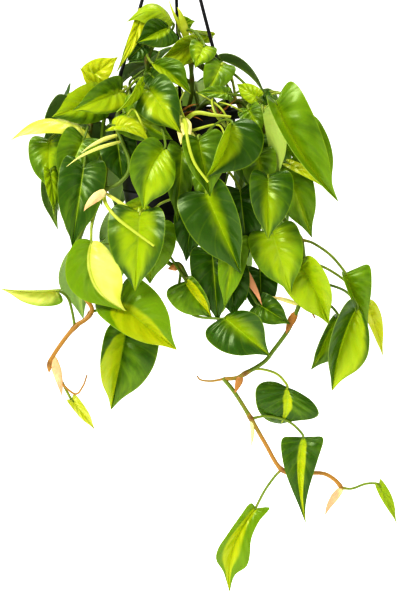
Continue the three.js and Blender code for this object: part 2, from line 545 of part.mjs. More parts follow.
function frontLeaf(row, number) {
  const [vine, joint, tip, width, roll, foldLeft, foldRight, bow, sway, look, ...outlines] = row;
  const draw = draws(500 + number);
  const from = seen(joint);
  const to = seen(tip);
  const outward = EYE.clone().sub(from).normalize();
  const known = KNOWN_STARTS.find(([place]) => place[0] === joint[0] && place[1] === joint[1]);
  const start = known ? seen([known[1][0], known[1][1], joint[2]]) : null;
  const lift = known ? known[2] : USUAL_LIFT;
  return {
    vine, joint: from, tip: to, width, roll, foldLeft, foldRight, bow, sway, look, outward, start, lift,
    outlines, twist: draw(-12, 12), wave: draw(0.01, 0.035), phase: draw(0, 6.28),
  };
}

// Leaves of the sides and back: some stand up over the pot, the rest hang outside it.
function backLeaves(vine, number) {
  const draw = draws(900 + number);
  const leaves = [];
  const hanging = 1 + Math.round(vine.drop / 36);
  for (let i = 0; i < hanging + STANDING; i += 1) {
    const standing = i < STANDING;
    const side = vine.azimuth + (i % 2 ? 1 : -1) * draw(6, 15);
    const radius = standing ? draw(16, 66) : draw(104, 122) + 12 * Math.sin(i);
    const level = (vine.drop + 40) * ((i - STANDING) / hanging);
    const height = RIM_HEIGHT + (standing ? 72 - 0.9 * radius + draw(-10, 10) : 12 - level);
    const length = draw(66, 92);
    const reach = standing ? length * 0.75 : draw(4, 26);
    const fall = standing ? draw(18, 50) : Math.sqrt(length * length - reach * reach);
    const joint = polar(side, radius, height);
    const tip = polar(side + draw(-9, 9), radius + reach, height - fall);
    const outward = polar(side, 1, standing ? 1.3 : 0.35).normalize();
    leaves.push({
      vine: vine.name, joint, tip, outward, start: null, lift: USUAL_LIFT, outlines: [],
      width: draw(0.66, 0.84), roll: draw(-16, 16), foldLeft: draw(0, 24), foldRight: draw(0, 24),
      bow: draw(0.03, 0.12), sway: draw(-0.05, 0.05),
      twist: draw(-14, 14), wave: draw(0.01, 0.035), phase: draw(0, 6.28),
    });
  }
  return leaves;
}

// The value of an outline table at a share from 0 to 1, on a smooth curve through it.
function tableValue(table, share) {
  const last = table.length - 1;
  const span = Math.min(Math.floor(share * last), last - 1);
  const t = share * last - span;
  const before = table[Math.max(span - 1, 0)];
  const after = table[Math.min(span + 2, last)];
  const slopeIn = (table[span + 1] - before) / 2;
  const slopeOut = (after - table[span]) / 2;
  const rise = table[span + 1] - table[span];
  return table[span] + slopeIn * t + (3 * rise - 2 * slopeIn - slopeOut) * t * t
    + (slopeIn + slopeOut - 2 * rise) * t * t * t;
}

// A point of the blade: share from joint to tip, and side from -1 to 1 across.
function bladePoint(leaf, frame, share, side) {
  const out = Math.abs(side);
  const outline = OUTLINES[leaf.outlines[side > 0 ? 1 : 0] ?? "heart"];
  const along = THREE.MathUtils.lerp(tableValue(MIDRIB, share), tableValue(outline.along, share), out);
  const half = tableValue(outline.across, share) * out * 0.5 * leaf.width * frame.length;
  const fold = THREE.MathUtils.degToRad(side < 0 ? leaf.foldLeft : leaf.foldRight);
  const swing = Math.sin(leaf.phase + 9.4 * share + Math.sign(side));
  const ripple = leaf.wave * frame.length * out * out * swing;
  const flat = Math.sign(side) * half * Math.cos(fold);
  const lift = half * Math.sin(fold) + ripple * Math.sin(Math.PI * share);
  const twist = THREE.MathUtils.degToRad(leaf.twist) * Math.max(along, 0);
  const arch = 4 * along * (1 - along) * frame.length;
  const over = flat * Math.cos(twist) - lift * Math.sin(twist) + leaf.sway * arch;
  const up = flat * Math.sin(twist) + lift * Math.cos(twist) + leaf.bow * arch;
  return leaf.joint.clone().addScaledVector(frame.axis, along * frame.length)
    .addScaledVector(frame.across, over).addScaledVector(frame.face, up);
}

// Short leaves, leaves that others mostly cover, and those at the back have fewer rows.
function rowsOf(leaf) {
  const plain = !leaf.look || leaf.look === "dark" || leaf.joint.distanceTo(leaf.tip) < SHORT_LEAF;
  return plain ? FEW_ROWS : ROWS;
}

// The blade as a closed sheet: both faces carry the same triangles, with a wall round the edge.
function blade(leaf, thickness) {
  const frame = leafFrame(leaf);
  const rows = rowsOf(leaf);
  const count = rows.length;
  const middle = [0, ...rows, 1].map((row) => bladePoint(leaf, frame, row, 0));
  for (const side of [1, -1]) {
    for (const row of rows) middle.push(bladePoint(leaf, frame, row, side));
  }
  const rib = (i) => i;
  const edge = (side, i) => {
    if (i === 0 || i === count + 1) return i;
    return count + 1 + (side > 0 ? 0 : count) + i;
  };
  const sheet = [];
  for (const side of [1, -1]) {
    const add = (a, b, c) => sheet.push(side > 0 ? [a, b, c] : [a, c, b]);
    for (let i = 0; i <= count; i += 1) {
      if (i > 0) add(rib(i), edge(side, i), edge(side, i + 1));
      if (i < count) add(rib(i), edge(side, i + 1), rib(i + 1));
      if (i === 0) continue;
      if (i === count) add(rib(i), edge(side, i), rib(i + 1));
    }
  }
  const faces = sheet.filter(([a, b, c]) => a !== b && b !== c && a !== c);
  return thickSheet(middle, uniqueFaces(faces), thickness);
}

function uniqueFaces(faces) {
  const found = new Map();
  for (const face of faces) found.set([...face].sort((a, b) => a - b).join(" "), face);
  return [...found.values()];
}

function thickSheet(middle, faces, thickness) {
  const normals = middle.map(() => new THREE.Vector3());
  const boundary = new Map();
  for (const [a, b, c] of faces) {
    const flat = middle[b].clone().sub(middle[a]).cross(middle[c].clone().sub(middle[a])).normalize();
    for (const i of [a, b, c]) normals[i].add(flat);
    for (const [i, j] of [[a, b], [b, c], [c, a]]) {
      if (boundary.has(`${j} ${i}`)) boundary.delete(`${j} ${i}`);
      else boundary.set(`${i} ${j}`, [i, j]);
    }
  }
  const places = [];
  for (const sign of [0.5, -0.5]) {
    middle.forEach((point, i) => {
      const off = normals[i].clone().normalize().multiplyScalar(sign * thickness);
      places.push(...point.clone().add(off).toArray());
    });
  }
  const under = middle.length;
  const index = [];
  for (const [a, b, c] of faces) index.push(a, b, c, under + a, under + c, under + b);
  for (const [i, j] of boundary.values()) index.push(j, i, under + i, j, under + i, under + j);
  const geometry = new THREE.BufferGeometry();
  geometry.setAttribute("position", new THREE.Float32BufferAttribute(places, 3));
  geometry.setIndex(index);
  return solid(geometry);
}

// The stalk's route: up and out from the stem, then over and down into the blade.
function stalkRoute(leaf, start, bulge) {
  const frame = leafFrame(leaf);
  const gone = start.distanceTo(leaf.joint);
  const rise = new THREE.Vector3(0, 0, leaf.lift * gone);
  const onward = leaf.joint.clone().sub(start).normalize();
  const arriving = frame.axis.clone()
    .addScaledVector(onward, 0.1 - Math.min(frame.axis.dot(onward), 0)).normalize();
  const first = start.clone().lerp(leaf.joint, 0.22).add(rise).addScaledVector(frame.across, bulge);
  const second = leaf.joint.clone().addScaledVector(arriving, -0.3 * gone)
    .addScaledVector(frame.face, -0.08 * gone).addScaledVector(frame.across, bulge);
  const curve = new THREE.CubicBezierCurve3(start, first, second, leaf.joint);
  const points = [0, 0.3, 0.62, 0.94].map((share) => curve.getPoint(share));
  const inside = bladePoint(leaf, frame, rowsOf(leaf)[0], 0).sub(leaf.joint).setLength(STALK_SINK);
  points.push(inside.add(leaf.joint));
  return points;
}

function stalk(leaf, start, bulge) {
  return rod(stalkRoute(leaf, start, bulge), PETIOLE_RADIUS, 3, 3, STALK_END);
}

const STALK_BULGES = [0, 10, -10, 20, -20, 32, -32];
const STALK_SHIFTS = [0, -4, 4, -8, 8, -13, 13, -18, 18];

function startOnStem(leaf, samples, shift) {
  const wanted = leaf.start ? 0 : USUAL_PETIOLE;
  const target = leaf.start ?? leaf.joint;
  let best = 0;
  samples.forEach((point, i) => {
    const off = Math.abs(point.distanceTo(target) - wanted);
    if (off < Math.abs(samples[best].distanceTo(target) - wanted)) best = i;
  });
  const index = Math.min(Math.max(best + shift, 0), samples.length - 1);
  return samples[index];
}

function boxesMeet(a, b) {
  return [0, 1, 2].every((i) => a.min[i] <= b.max[i] && b.min[i] <= a.max[i]);
}

function crosses(body, box, others) {
  for (const other of others) {
    if (boxesMeet(box, other.box) && !wasm.Manifold.intersection(body, other.body).isEmpty()) return true;
  }
  return false;
}

function obstacle(body, owner) {
  return { body, owner, box: body.boundingBox() };
}

// Leaves are set from the inside out. One that would cross what is already there swings out,
// away from the plant's middle, a step at a time, and its stalk takes the first clear route.
function setLeaf(leaf, vines, obstacles) {
  for (const bend of BENDS) {
    const moved = { ...leaf };
    moved.joint = leaf.joint.clone().addScaledVector(leaf.outward, bend * BEND_STEP);
    moved.tip = leaf.tip.clone().addScaledVector(leaf.outward, bend * BEND_STEP);
    const test = blade(moved, CLEAR_BLADE);
    if (crosses(test, test.boundingBox(), obstacles)) continue;
    const owners = [vines.find((vine) => vine.name === leaf.vine)];
    if (Math.abs(bend) >= 2) owners.push(...vines.filter((vine) => vine.name !== leaf.vine));
    for (const vine of owners) {
      const others = obstacles.filter((entry) => entry.owner !== vine.name);
      for (const shift of STALK_SHIFTS) {
        const start = startOnStem(moved, vine.samples, shift);
        if (start.distanceTo(moved.joint) > 2.4 * USUAL_PETIOLE) continue;
        for (const bulge of STALK_BULGES) {
          const body = stalk(moved, start, bulge);
          if (crosses(body, body.boundingBox(), others)) continue;
          const leafBody = joined([blade(moved, BLADE), body]);
          if (leafBody.decompose().length === 1) return { vine, body: leafBody };
        }
      }
    }
  }
  return null;
}

// A stem's rods, and the places along their middle lines where a stalk can start.
function growStem(vine) {
  vine.samples = [];
  vine.bodies = vine.runs.map((points) => {
    let length = 0;
    for (let i = 1; i < points.length; i += 1) length += points[i].distanceTo(points[i - 1]);
    const steps = Math.round(length / STEM_STEP);
    const rings = smoothCurve(points).getSpacedPoints(steps);
    for (let i = 1; i <= steps; i += 1) {
      for (const share of STARTS) vine.samples.push(rings[i - 1].clone().lerp(rings[i], share));
    }
    return rod(points, STEM_RADIUS, 5, steps);
  });
  vine.samples = vine.samples.filter((point) => (
    point.z > SOIL_TOP + 8 || Math.hypot(point.x, point.y) > RIM_RADIUS));
}

function nearest(samples, place) {
  return samples.reduce((best, point) => (
    point.distanceTo(place) < best.distanceTo(place) ? point : best));
}

function addTrimmings(vines) {
  for (const [name, base, end, radius] of SPINDLES) {
    const vine = vines.find((entry) => entry.name === name);
    vine.bodies.push(spindle(nearest(vine.samples, seen(base)), seen(end), radius));
  }
  for (const [name, radius, route] of ROOTS) {
    const vine = vines.find((entry) => entry.name === name);
    const points = route.map(seen);
    points[0] = nearest(vine.samples, points[0]);
    vine.bodies.push(rod(points, radius, 3, 2 * points.length));
  }
}

function makePlant(made) {
  const vines = FRONT_VINES.map(frontVine).concat(BACK_VINES.map(backVine));
  vines.forEach(growStem);
  addTrimmings(vines);
  const obstacles = made.map((body) => obstacle(body, "pot"));
  for (const vine of vines) {
    for (const body of vine.bodies) obstacles.push(obstacle(body, vine.name));
  }
  const leaves = FRONT_LEAVES.map(frontLeaf);
  vines.filter((vine) => vine.drop).forEach((vine, i) => leaves.push(...backLeaves(vine, i)));
  const middle = new THREE.Vector3(0, 0, RIM_HEIGHT - 20);
  const depth = (leaf) => leaf.joint.clone().lerp(leaf.tip, 0.5).sub(middle).length();
  leaves.sort((a, b) => depth(a) - depth(b));
  for (const leaf of leaves) {
    const set = setLeaf(leaf, vines, obstacles);
    if (!set) continue;
    set.vine.bodies.push(set.body);
    obstacles.push(obstacle(set.body, set.vine.name));
  }
  return vines;
}

const plastic = (name) => finish(name, COLOURS.plastic, 0.45);
const philodendron = new THREE.Group();
const pot = makePot();
const saucer = makeSaucer();
const hanger = makeHanger();
const vines = makePlant([pot, saucer, hanger]);
const soil = makeSoil(vines);

philodendron.add(pieceMesh("pot", pot, plastic("pot")));
philodendron.add(pieceMesh("saucer", saucer, plastic("saucer")));
philodendron.add(pieceMesh("hanger", hanger, plastic("hanger")));
philodendron.add(pieceMesh("potting_mix", soil, finish("potting_mix", COLOURS.soil, 0.95)));
for (const vine of vines) {
  const colour = vine.drop ? COLOURS.leafBack : COLOURS.leaf;
  const body = joined(vine.bodies).simplify(SMOOTHING);
  philodendron.add(pieceMesh(vine.name, body, finish(vine.name, colour, 0.4)));
}
philodendron.position.z = -HOOK_BEARING;

export default philodendron;
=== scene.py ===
# %% [markdown]
# # A brasil philodendron in a hanging pot
# The plant stands in a black nursery pot that hangs by three strands from one hook. Its
# stems lie over the rim and trail, and each leaf has a long stalk of its own. The packed
# model gives the pot, the hanger, the mix and one rough solid for each stem with its
# leaves. This lesson dresses them: every piece is modelled again, finer, in the same place.

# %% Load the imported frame
import math

import bmesh
import bpy
from mathutils import Matrix, Vector, kdtree, noise


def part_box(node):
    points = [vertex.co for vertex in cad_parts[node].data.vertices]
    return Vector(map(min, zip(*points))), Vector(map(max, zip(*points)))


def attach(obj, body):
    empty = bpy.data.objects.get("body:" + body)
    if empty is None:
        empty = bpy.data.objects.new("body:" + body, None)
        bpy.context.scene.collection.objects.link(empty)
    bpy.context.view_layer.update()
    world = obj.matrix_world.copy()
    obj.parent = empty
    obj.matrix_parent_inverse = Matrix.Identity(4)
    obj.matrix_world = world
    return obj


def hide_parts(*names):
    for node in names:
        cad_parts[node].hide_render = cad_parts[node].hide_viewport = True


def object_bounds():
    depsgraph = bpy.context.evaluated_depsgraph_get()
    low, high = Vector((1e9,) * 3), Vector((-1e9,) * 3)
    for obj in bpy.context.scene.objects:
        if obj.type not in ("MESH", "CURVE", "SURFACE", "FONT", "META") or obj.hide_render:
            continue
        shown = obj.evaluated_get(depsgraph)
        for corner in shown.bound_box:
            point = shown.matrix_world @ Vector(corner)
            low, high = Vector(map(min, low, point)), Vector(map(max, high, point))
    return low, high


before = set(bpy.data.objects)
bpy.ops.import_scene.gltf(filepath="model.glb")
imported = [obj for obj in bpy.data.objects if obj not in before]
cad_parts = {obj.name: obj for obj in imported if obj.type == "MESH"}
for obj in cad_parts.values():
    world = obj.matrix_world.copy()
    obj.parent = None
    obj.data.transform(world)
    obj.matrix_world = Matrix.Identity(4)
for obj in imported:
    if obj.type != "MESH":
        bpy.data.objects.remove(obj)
cad_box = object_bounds()
MM = 0.001
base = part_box("saucer")[0].z
print("The solids stand between", [tuple(round(c, 3) for c in corner) for corner in cad_box])

# %% [markdown]
# ## Camera
# The real plant was seen from far away, a little from above. The same view is the ruler
# for the leaves: each front leaf is placed where the picture shows it, at a depth that
# was judged, so the camera comes first. Lengths are millimetres counted from the
# underside of the saucer until a piece is finished. Then it is scaled and moved at once.

# %% Camera and the place behind a point of the picture
PICTURE = (400, 593)
FOCAL = 1500
VIEW_DISTANCE = 1650
VIEW_AIM = Vector((28.6, 0, -87))
SENSOR_WIDTH = 36
PITCH = math.radians(9.7)
FORWARD = Vector((0, math.cos(PITCH), -math.sin(PITCH)))
UPWARD = Vector((0, math.sin(PITCH), math.cos(PITCH)))
EYE = VIEW_AIM - VIEW_DISTANCE * FORWARD
TO_FRAME = Matrix.Translation((0, 0, base)) @ Matrix.Scale(MM, 4)


def seen(place):
    """The point at a depth y that the camera sees at (across, down) in the picture."""
    across, down, depth = place
    ray = FORWARD + UPWARD * ((PICTURE[1] / 2 - down) / FOCAL)
    ray.x += (across - PICTURE[0] / 2) / FOCAL
    return EYE + ray * ((depth - EYE.y) / ray.y)


def add_object(name, data):
    """A new object in the scene, at the origin."""
    made = bpy.data.objects.new(name, data)
    bpy.context.scene.collection.objects.link(made)
    return made


camera = add_object("camera", bpy.data.cameras.new("camera"))
camera.data.sensor_width = SENSOR_WIDTH
camera.data.lens = SENSOR_WIDTH * FOCAL / PICTURE[1]
camera.location = TO_FRAME @ EYE
camera.rotation_euler = FORWARD.to_track_quat("-Z", "Y").to_euler()
bpy.context.scene.camera = camera
print("Camera at", tuple(round(c, 3) for c in camera.location), "with a lens of", round(camera.data.lens, 1))

# %% [markdown]
# ## Writing a finish as arithmetic
# A material is a graph of nodes, and its maths is easier to read as a formula. `Term`
# wraps a socket so that + - and * add the Math nodes, and `Finish` adds every other node.

# %% A term


class Term:
    """A shader socket that Python arithmetic works on."""

    def __init__(self, finish, socket):
        self.finish = finish
        self.socket = socket

    def __add__(self, other):
        return self.finish.math("ADD", self, other)

    def __sub__(self, other):
        return self.finish.math("SUBTRACT", self, other)

    def __rsub__(self, other):
        return self.finish.math("SUBTRACT", other, self)

    def __mul__(self, other):
        return self.finish.math("MULTIPLY", self, other)

    __radd__ = __add__
    __rmul__ = __mul__


print("A term knows plus, minus and times")

# %% A finish


class Finish:
    """A material with a Principled shader, whose steady values are set on its own sockets."""

    def __init__(self, name, steady):
        self.material = bpy.data.materials.new(name)
        self.material.use_nodes = True
        self.tree = self.material.node_tree
        self.shader = self.tree.nodes["Principled BSDF"]
        for socket, value in steady.items():
            self.shader.inputs[socket].default_value = value

    def node(self, kind, settings, inputs):
        """A node of any kind: its settings are set first, then its sockets."""
        made = self.tree.nodes.new(kind)
        for name, value in settings.items():
            setattr(made, name, value)
        for key, value in inputs.items():
            self.plug(value, made.inputs[key])
        return made

    def plug(self, value, socket):
        if isinstance(value, Term):
            self.tree.links.new(value.socket, socket)
        else:
            socket.default_value = value

    def term(self, made, output=0):
        return Term(self, made.outputs[output])

    def math(self, operation, *values):
        return self.term(self.node("ShaderNodeMath", {"operation": operation}, dict(enumerate(values))))

    def smooth(self, value, low, high):
        """0 below low, 1 above high, and a smooth step between."""
        limits = {"Value": value, "From Min": low, "From Max": high}
        return self.term(self.node("ShaderNodeMapRange", {"interpolation_type": "SMOOTHSTEP"}, limits))

    def mix(self, share, colour, other):
        """Two colours mixed: share 0 is the first."""
        colours = [tone if isinstance(tone, Term) else (*tone, 1) for tone in (colour, other)]
        made = self.node("ShaderNodeMix", {"data_type": "RGBA"}, {0: share, 6: colours[0], 7: colours[1]})
        return self.term(made, 2)

    def grain(self, place, scale, detail=2.0, roughness=0.5):
        inputs = {"Vector": place, "Scale": scale, "Detail": detail, "Roughness": roughness}
        return self.term(self.node("ShaderNodeTexNoise", {}, inputs))

    def mark(self, name):
        """A number that the mesh carries under this name."""
        return self.term(self.node("ShaderNodeAttribute", {"attribute_name": name}, {}), "Fac")

    def triple(self, x, y, z):
        return self.term(self.node("ShaderNodeCombineXYZ", {}, {0: x, 1: y, 2: z}))

    def coordinate(self, output):
        return self.term(self.node("ShaderNodeTexCoord", {}, {}), output)

    def parts(self, vector):
        made = self.node("ShaderNodeSeparateXYZ", {}, {0: vector})
        return self.term(made, 0), self.term(made, 1)

    def bump(self, height, distance):
        made = self.node("ShaderNodeBump", {}, {"Strength": 1.0, "Distance": distance, "Height": height})
        self.paint("Normal", self.term(made))

    def paint(self, socket, value):
        self.plug(value, self.shader.inputs[socket])


print("Ready to write finishes")

# %% [markdown]
# ## Leaf finish
# A brasil leaf is dark green with a lime to yellow flame along its middle. The flame's
# edge follows the side veins, so it looks brushed. The mesh carries how far inside the
# flame each point lies, and noise that is stretched along the veins breaks that edge up.
# The back is paler and duller. A little light scatters through the blade, and the gloss
# is tinted, so that it stays green.

# %% Leaf finish
VEINS = 7
VEIN_LEAN = 0.14
SCATTER_DEPTH = 0.002
GREEN_GLOSS = (0.85, 1.0, 0.6, 1)
FLAME_EDGE = 0.75
RIB_HALF = 0.04
RIM_START = 0.95
LEAF_ROUGHNESS = 0.24
LEAF_RELIEF = 0.0005
DARK_GREEN = (0.027, 0.074, 0.002)
FRESH_GREEN = (0.148, 0.248, 0.002)
LIME = (0.280, 0.372, 0.003)
YELLOW = (0.460, 0.470, 0.006)
CREAM = (0.590, 0.610, 0.150)
BACK_GREEN = (0.290, 0.400, 0.130)
RIB = (0.340, 0.440, 0.030)


def leaf_finish():
    leaf = Finish("leaf", {
        "Subsurface Weight": 0.12, "Subsurface Radius": (0.4, 1.0, 0.1), "Subsurface Scale": SCATTER_DEPTH,
        "Specular IOR Level": 0.4, "Specular Tint": GREEN_GLOSS,
    })
    across, share = leaf.parts(leaf.coordinate("UV"))
    side = across * 2 - 1
    out = leaf.math("ABSOLUTE", side)
    vein = share - out * VEIN_LEAN
    seed = leaf.mark("seed") * 37
    brushed = leaf.grain(leaf.triple(vein * VEINS, side * 1.2, seed), 1.0, 3.0)
    fine = leaf.grain(leaf.triple(vein * VEINS * 3, side * 2.2, seed + 5), 1.0)
    blot = leaf.grain(leaf.triple(share * 3, side * 1.4, seed + 9), 1.0)
    soft = leaf.mark("soft") * FLAME_EDGE
    flame = leaf.smooth(leaf.mark("band") + (brushed - 0.5) * leaf.mark("brush"), soft * -1, soft)
    ground = leaf.mark("fresh") + (blot - 0.5) * 0.9 + (brushed - 0.5) * 0.8 + (fine - 0.5) * 0.5
    ground = leaf.smooth(ground, 0.0, 1.0)
    green = leaf.mix(ground, DARK_GREEN, FRESH_GREEN)
    tint = leaf.mark("tint") + (blot - 0.5) * 0.8
    pale = leaf.mix(leaf.smooth(tint, -0.1, 0.7), LIME, YELLOW)
    pale = leaf.mix(leaf.smooth(tint, 0.6, 1.1), pale, CREAM)
    streaks = leaf.smooth(brushed + (fine - 0.5) * 0.5, 0.5, 0.75) * leaf.smooth(1 - tint, 0.1, 0.9)
    pale = leaf.mix(streaks * 0.55, pale, FRESH_GREEN)
    colour = leaf.mix(flame, green, pale)
    ridges = leaf.math("SINE", vein * (2 * math.pi * VEINS))
    colour = leaf.mix(leaf.smooth(ridges * -1, 0.9, 1.0) * 0.07, colour, LIME)
    rib = leaf.smooth(RIB_HALF - out, 0.0, 0.03)
    colour = leaf.mix(rib * 0.6, colour, RIB)
    rim = leaf.smooth(out, RIM_START, 1.0)
    colour = leaf.mix(rim * 0.4, colour, LIME)
    under = leaf.mark("under")
    colour = leaf.mix(under * 0.6, colour, BACK_GREEN)
    leaf.paint("Base Color", colour)
    leaf.paint("Roughness", LEAF_ROUGHNESS + fine * 0.16 + under * 0.24)
    relief = ridges * 0.35 * leaf.smooth(out, 0.0, 0.2) + fine * 0.8 + blot * 0.8
    leaf.bump(relief, LEAF_RELIEF)
    return leaf.material


leaf_material = leaf_finish()
print("Leaf finish with", len(leaf_material.node_tree.nodes), "nodes")

# %% [markdown]
# ## Stem, sheath and root finishes
# Young stems are olive green and older ones and their lower ends turn orange brown. The
# mesh carries how warm each point is. A rolled new leaf is lime. The papery sheaths that
# wrapped it dry from cream over a pinkish tan to bark brown, with fine lines along them.

# %% Stem finish
OLIVE = (0.120, 0.185, 0.010)
STEM_LIME = (0.400, 0.460, 0.040)
ORANGE = (0.360, 0.180, 0.025)
SCAR = (0.090, 0.035, 0.010)
STEM_ROUGHNESS = 0.38
FINE_RELIEF = 0.0003


def stem_finish():
    stem = Finish("stem", {
        "Subsurface Weight": 0.08, "Subsurface Radius": (1.0, 0.7, 0.2), "Subsurface Scale": SCATTER_DEPTH,
        "Specular IOR Level": 0.4,
    })
    around, along = stem.parts(stem.coordinate("UV"))
    seed = stem.mark("seed") * 23
    streak = stem.grain(stem.triple(around * 9, along * 3, seed), 1.0, 3.0)
    blot = stem.grain(stem.coordinate("Object"), 160.0)
    warm = stem.mark("warm") + (blot - 0.5) * 0.5 + (streak - 0.5) * 0.3
    colour = stem.mix(stem.smooth(stem.mark("tint") + (blot - 0.5) * 0.4, 0.2, 0.8), OLIVE, STEM_LIME)
    colour = stem.mix(stem.smooth(warm, 0.25, 0.85), colour, ORANGE)
    colour = stem.mix(stem.mark("scar") * stem.smooth(streak, 0.3, 0.6), colour, SCAR)
    stem.paint("Base Color", colour)
    stem.paint("Roughness", STEM_ROUGHNESS + streak * 0.2)
    stem.bump(streak, FINE_RELIEF)
    return stem.material


stem_material = stem_finish()
print("Stem finish with", len(stem_material.node_tree.nodes), "nodes")

# %% Sheath finish
PAPER_CREAM = (0.800, 0.700, 0.300)
PAPER_PINK = (0.740, 0.360, 0.190)
PAPER_TAN = (0.400, 0.190, 0.045)
SHOOT = (0.680, 0.690, 0.150)
YOUNG_LIME = (0.400, 0.450, 0.020)
BARK_BROWN = (0.260, 0.105, 0.020)
PAPER_ROUGHNESS = 0.45


def sheath_finish():
    sheath = Finish("sheath", {
        "Subsurface Weight": 0.2, "Subsurface Radius": (1.0, 0.6, 0.3), "Subsurface Scale": SCATTER_DEPTH,
        "Specular IOR Level": 0.3,
    })
    around, along = sheath.parts(sheath.coordinate("UV"))
    seed = sheath.mark("seed") * 31
    lines = sheath.grain(sheath.triple(around * 26, along * 1.5, seed), 1.0, 3.0)
    blot = sheath.grain(sheath.triple(around * 2, along * 3, seed + 3), 1.0)
    dry = sheath.mark("warm") + (blot - 0.5) * 0.6
    colour = sheath.mix(sheath.smooth(dry, -0.9, -0.4), YOUNG_LIME, SHOOT)
    colour = sheath.mix(sheath.smooth(dry, 0.0, 0.35), colour, PAPER_CREAM)
    colour = sheath.mix(sheath.smooth(dry, 0.3, 0.7), colour, PAPER_PINK)
    colour = sheath.mix(sheath.smooth(dry, 0.7, 1.1), colour, PAPER_TAN)
    worn = sheath.smooth(lines, 0.55, 0.75) * sheath.smooth(dry, -0.4, 0.4)
    colour = sheath.mix(worn * 0.35, colour, PAPER_TAN)
    colour = sheath.mix(sheath.smooth(dry, 1.1, 1.7), colour, BARK_BROWN)
    sheath.paint("Base Color", colour)
    sheath.paint("Roughness", PAPER_ROUGHNESS + lines * 0.3)
    sheath.bump(lines, FINE_RELIEF)
    return sheath.material


sheath_material = sheath_finish()
print("Sheath finish with", len(sheath_material.node_tree.nodes), "nodes")

# %% [markdown]
# ## Plastic and potting mix finishes
# The pot, saucer and hanger are moulded in black plastic with a fine skin. Dust and
# handling make it greyer and rougher in patches. The mix is dark peat with bark chips
# of many browns. Each chip carries its own tone.

# %% Plastic finish
BLACK = (0.004, 0.004, 0.004)
DUSTY = (0.022, 0.019, 0.015)
SCUFF_STRETCH = (30, 30, 420)
SKIN_RELIEF = 0.0002


def plastic_finish(name, roughness):
    plastic = Finish(name, {"Specular IOR Level": 0.25})
    place = plastic.coordinate("Object")
    skin = plastic.grain(place, 1400.0, 3.0)
    dust = plastic.grain(place, 22.0, 5.0, 0.65)
    drawn_out = plastic.node("ShaderNodeMapping", {}, {"Vector": place, "Scale": SCUFF_STRETCH})
    scuff = plastic.grain(plastic.term(drawn_out), 1.0, 2.0)
    worn = plastic.smooth(dust, 0.5, 0.72) * 0.7 + plastic.smooth(scuff, 0.62, 0.75) * 0.3
    plastic.paint("Base Color", plastic.mix(worn, BLACK, DUSTY))
    plastic.paint("Roughness", roughness + worn * 0.22 + skin * 0.06)
    plastic.bump(skin * 0.4 + scuff * 0.2, SKIN_RELIEF)
    return plastic.material


pot_plastic = plastic_finish("pot_plastic", 0.36)
hanger_plastic = plastic_finish("hanger_plastic", 0.30)
print("Plastic finishes:", pot_plastic.name, hanger_plastic.name)

# %% Potting mix finish
PEAT = (0.020, 0.010, 0.005)
EARTH = (0.075, 0.034, 0.013)
BARK_DARK = (0.085, 0.030, 0.010)
BARK_WARM = (0.480, 0.170, 0.045)
PERLITE = (0.780, 0.760, 0.700)
CRUMB_RELIEF = 0.0008


def mix_finish():
    mix = Finish("bark_mix", {"Specular IOR Level": 0.2})
    place = mix.coordinate("Object")
    crumb = mix.grain(place, 420.0, 4.0, 0.7)
    fibre = mix.grain(place, 1600.0, 3.0)
    tone = mix.mark("tone")
    earth = mix.mix(mix.smooth(crumb, 0.35, 0.7), PEAT, EARTH)
    bark = mix.mix(mix.smooth(tone + (fibre - 0.5) * 0.5, 0.2, 1.0), BARK_DARK, BARK_WARM)
    colour = mix.mix(mix.smooth(tone, 0.02, 0.08), earth, bark)
    colour = mix.mix(mix.smooth(tone, 1.4, 1.6), colour, PERLITE)
    mix.paint("Base Color", colour)
    mix.paint("Roughness", 0.8 + fibre * 0.15)
    mix.bump(crumb + fibre * 0.4, CRUMB_RELIEF)
    return mix.material


mix_material = mix_finish()
print("Potting mix finish with", len(mix_material.node_tree.nodes), "nodes")

# %% [markdown]
# ## Helpers for round parts
# Most moulded parts are round, so each one is a drawn profile of radius and height that is
# spun about the axis. Its sharp edges are then rounded, as a mould rounds them. Every mesh
# has room for the marks that the finishes read, and a finished one is moved into the
# frame, and the CAD nodes that it stands for are hidden.

# %% Round parts and finished pieces
MARKS = ("seed", "band", "brush", "soft", "fresh", "tint", "under", "warm", "scar", "tone")
WELD = 0.0005
SMOOTH_ANGLE = 38


def polar(azimuth, radius, height):
    angle = math.radians(azimuth)
    return Vector((radius * math.cos(angle), radius * math.sin(angle), height))


def blend(low, high, share):
    return low + (high - low) * share


def new_mesh():
    mesh = bmesh.new()
    mesh.loops.layers.uv.new("UVMap")
    for name in MARKS:
        mesh.verts.layers.float.new(name)
    return mesh


def round_edges(mesh, size, least=35):
    """A small bevel on every sharp edge."""
    sharp = [edge for edge in mesh.edges if edge.calc_face_angle(0) > math.radians(least)]
    bmesh.ops.bevel(mesh, geom=sharp, offset=size, offset_type="OFFSET", affect="EDGES",
                    segments=2, profile=0.5, material=-1)


def spun(mesh, profile, segments=96):
    """A closed shape from a profile of radius and height that starts and ends on the axis."""
    verts = [mesh.verts.new((radius, 0, height)) for radius, height in profile]
    edges = [mesh.edges.new(pair) for pair in zip(verts, verts[1:])]
    bmesh.ops.spin(mesh, geom=verts + edges, cent=(0, 0, 0), axis=(0, 0, 1), angle=2 * math.pi,
                   steps=segments, use_merge=True)
    bmesh.ops.remove_doubles(mesh, verts=mesh.verts, dist=WELD)
    bmesh.ops.recalc_face_normals(mesh, faces=mesh.faces)


def block(mesh, size, azimuth, radius, height):
    """A box that faces away from the axis."""
    turn = Matrix.Rotation(math.radians(azimuth), 4, "Z")
    place = Matrix.Translation(polar(azimuth, radius, height)) @ turn @ Matrix.Diagonal((*size, 1))
    return bmesh.ops.create_cube(mesh, size=1, matrix=place)["verts"]


def mesh_data(mesh, name):
    data = bpy.data.meshes.new(name)
    mesh.to_mesh(data)
    mesh.free()
    return data


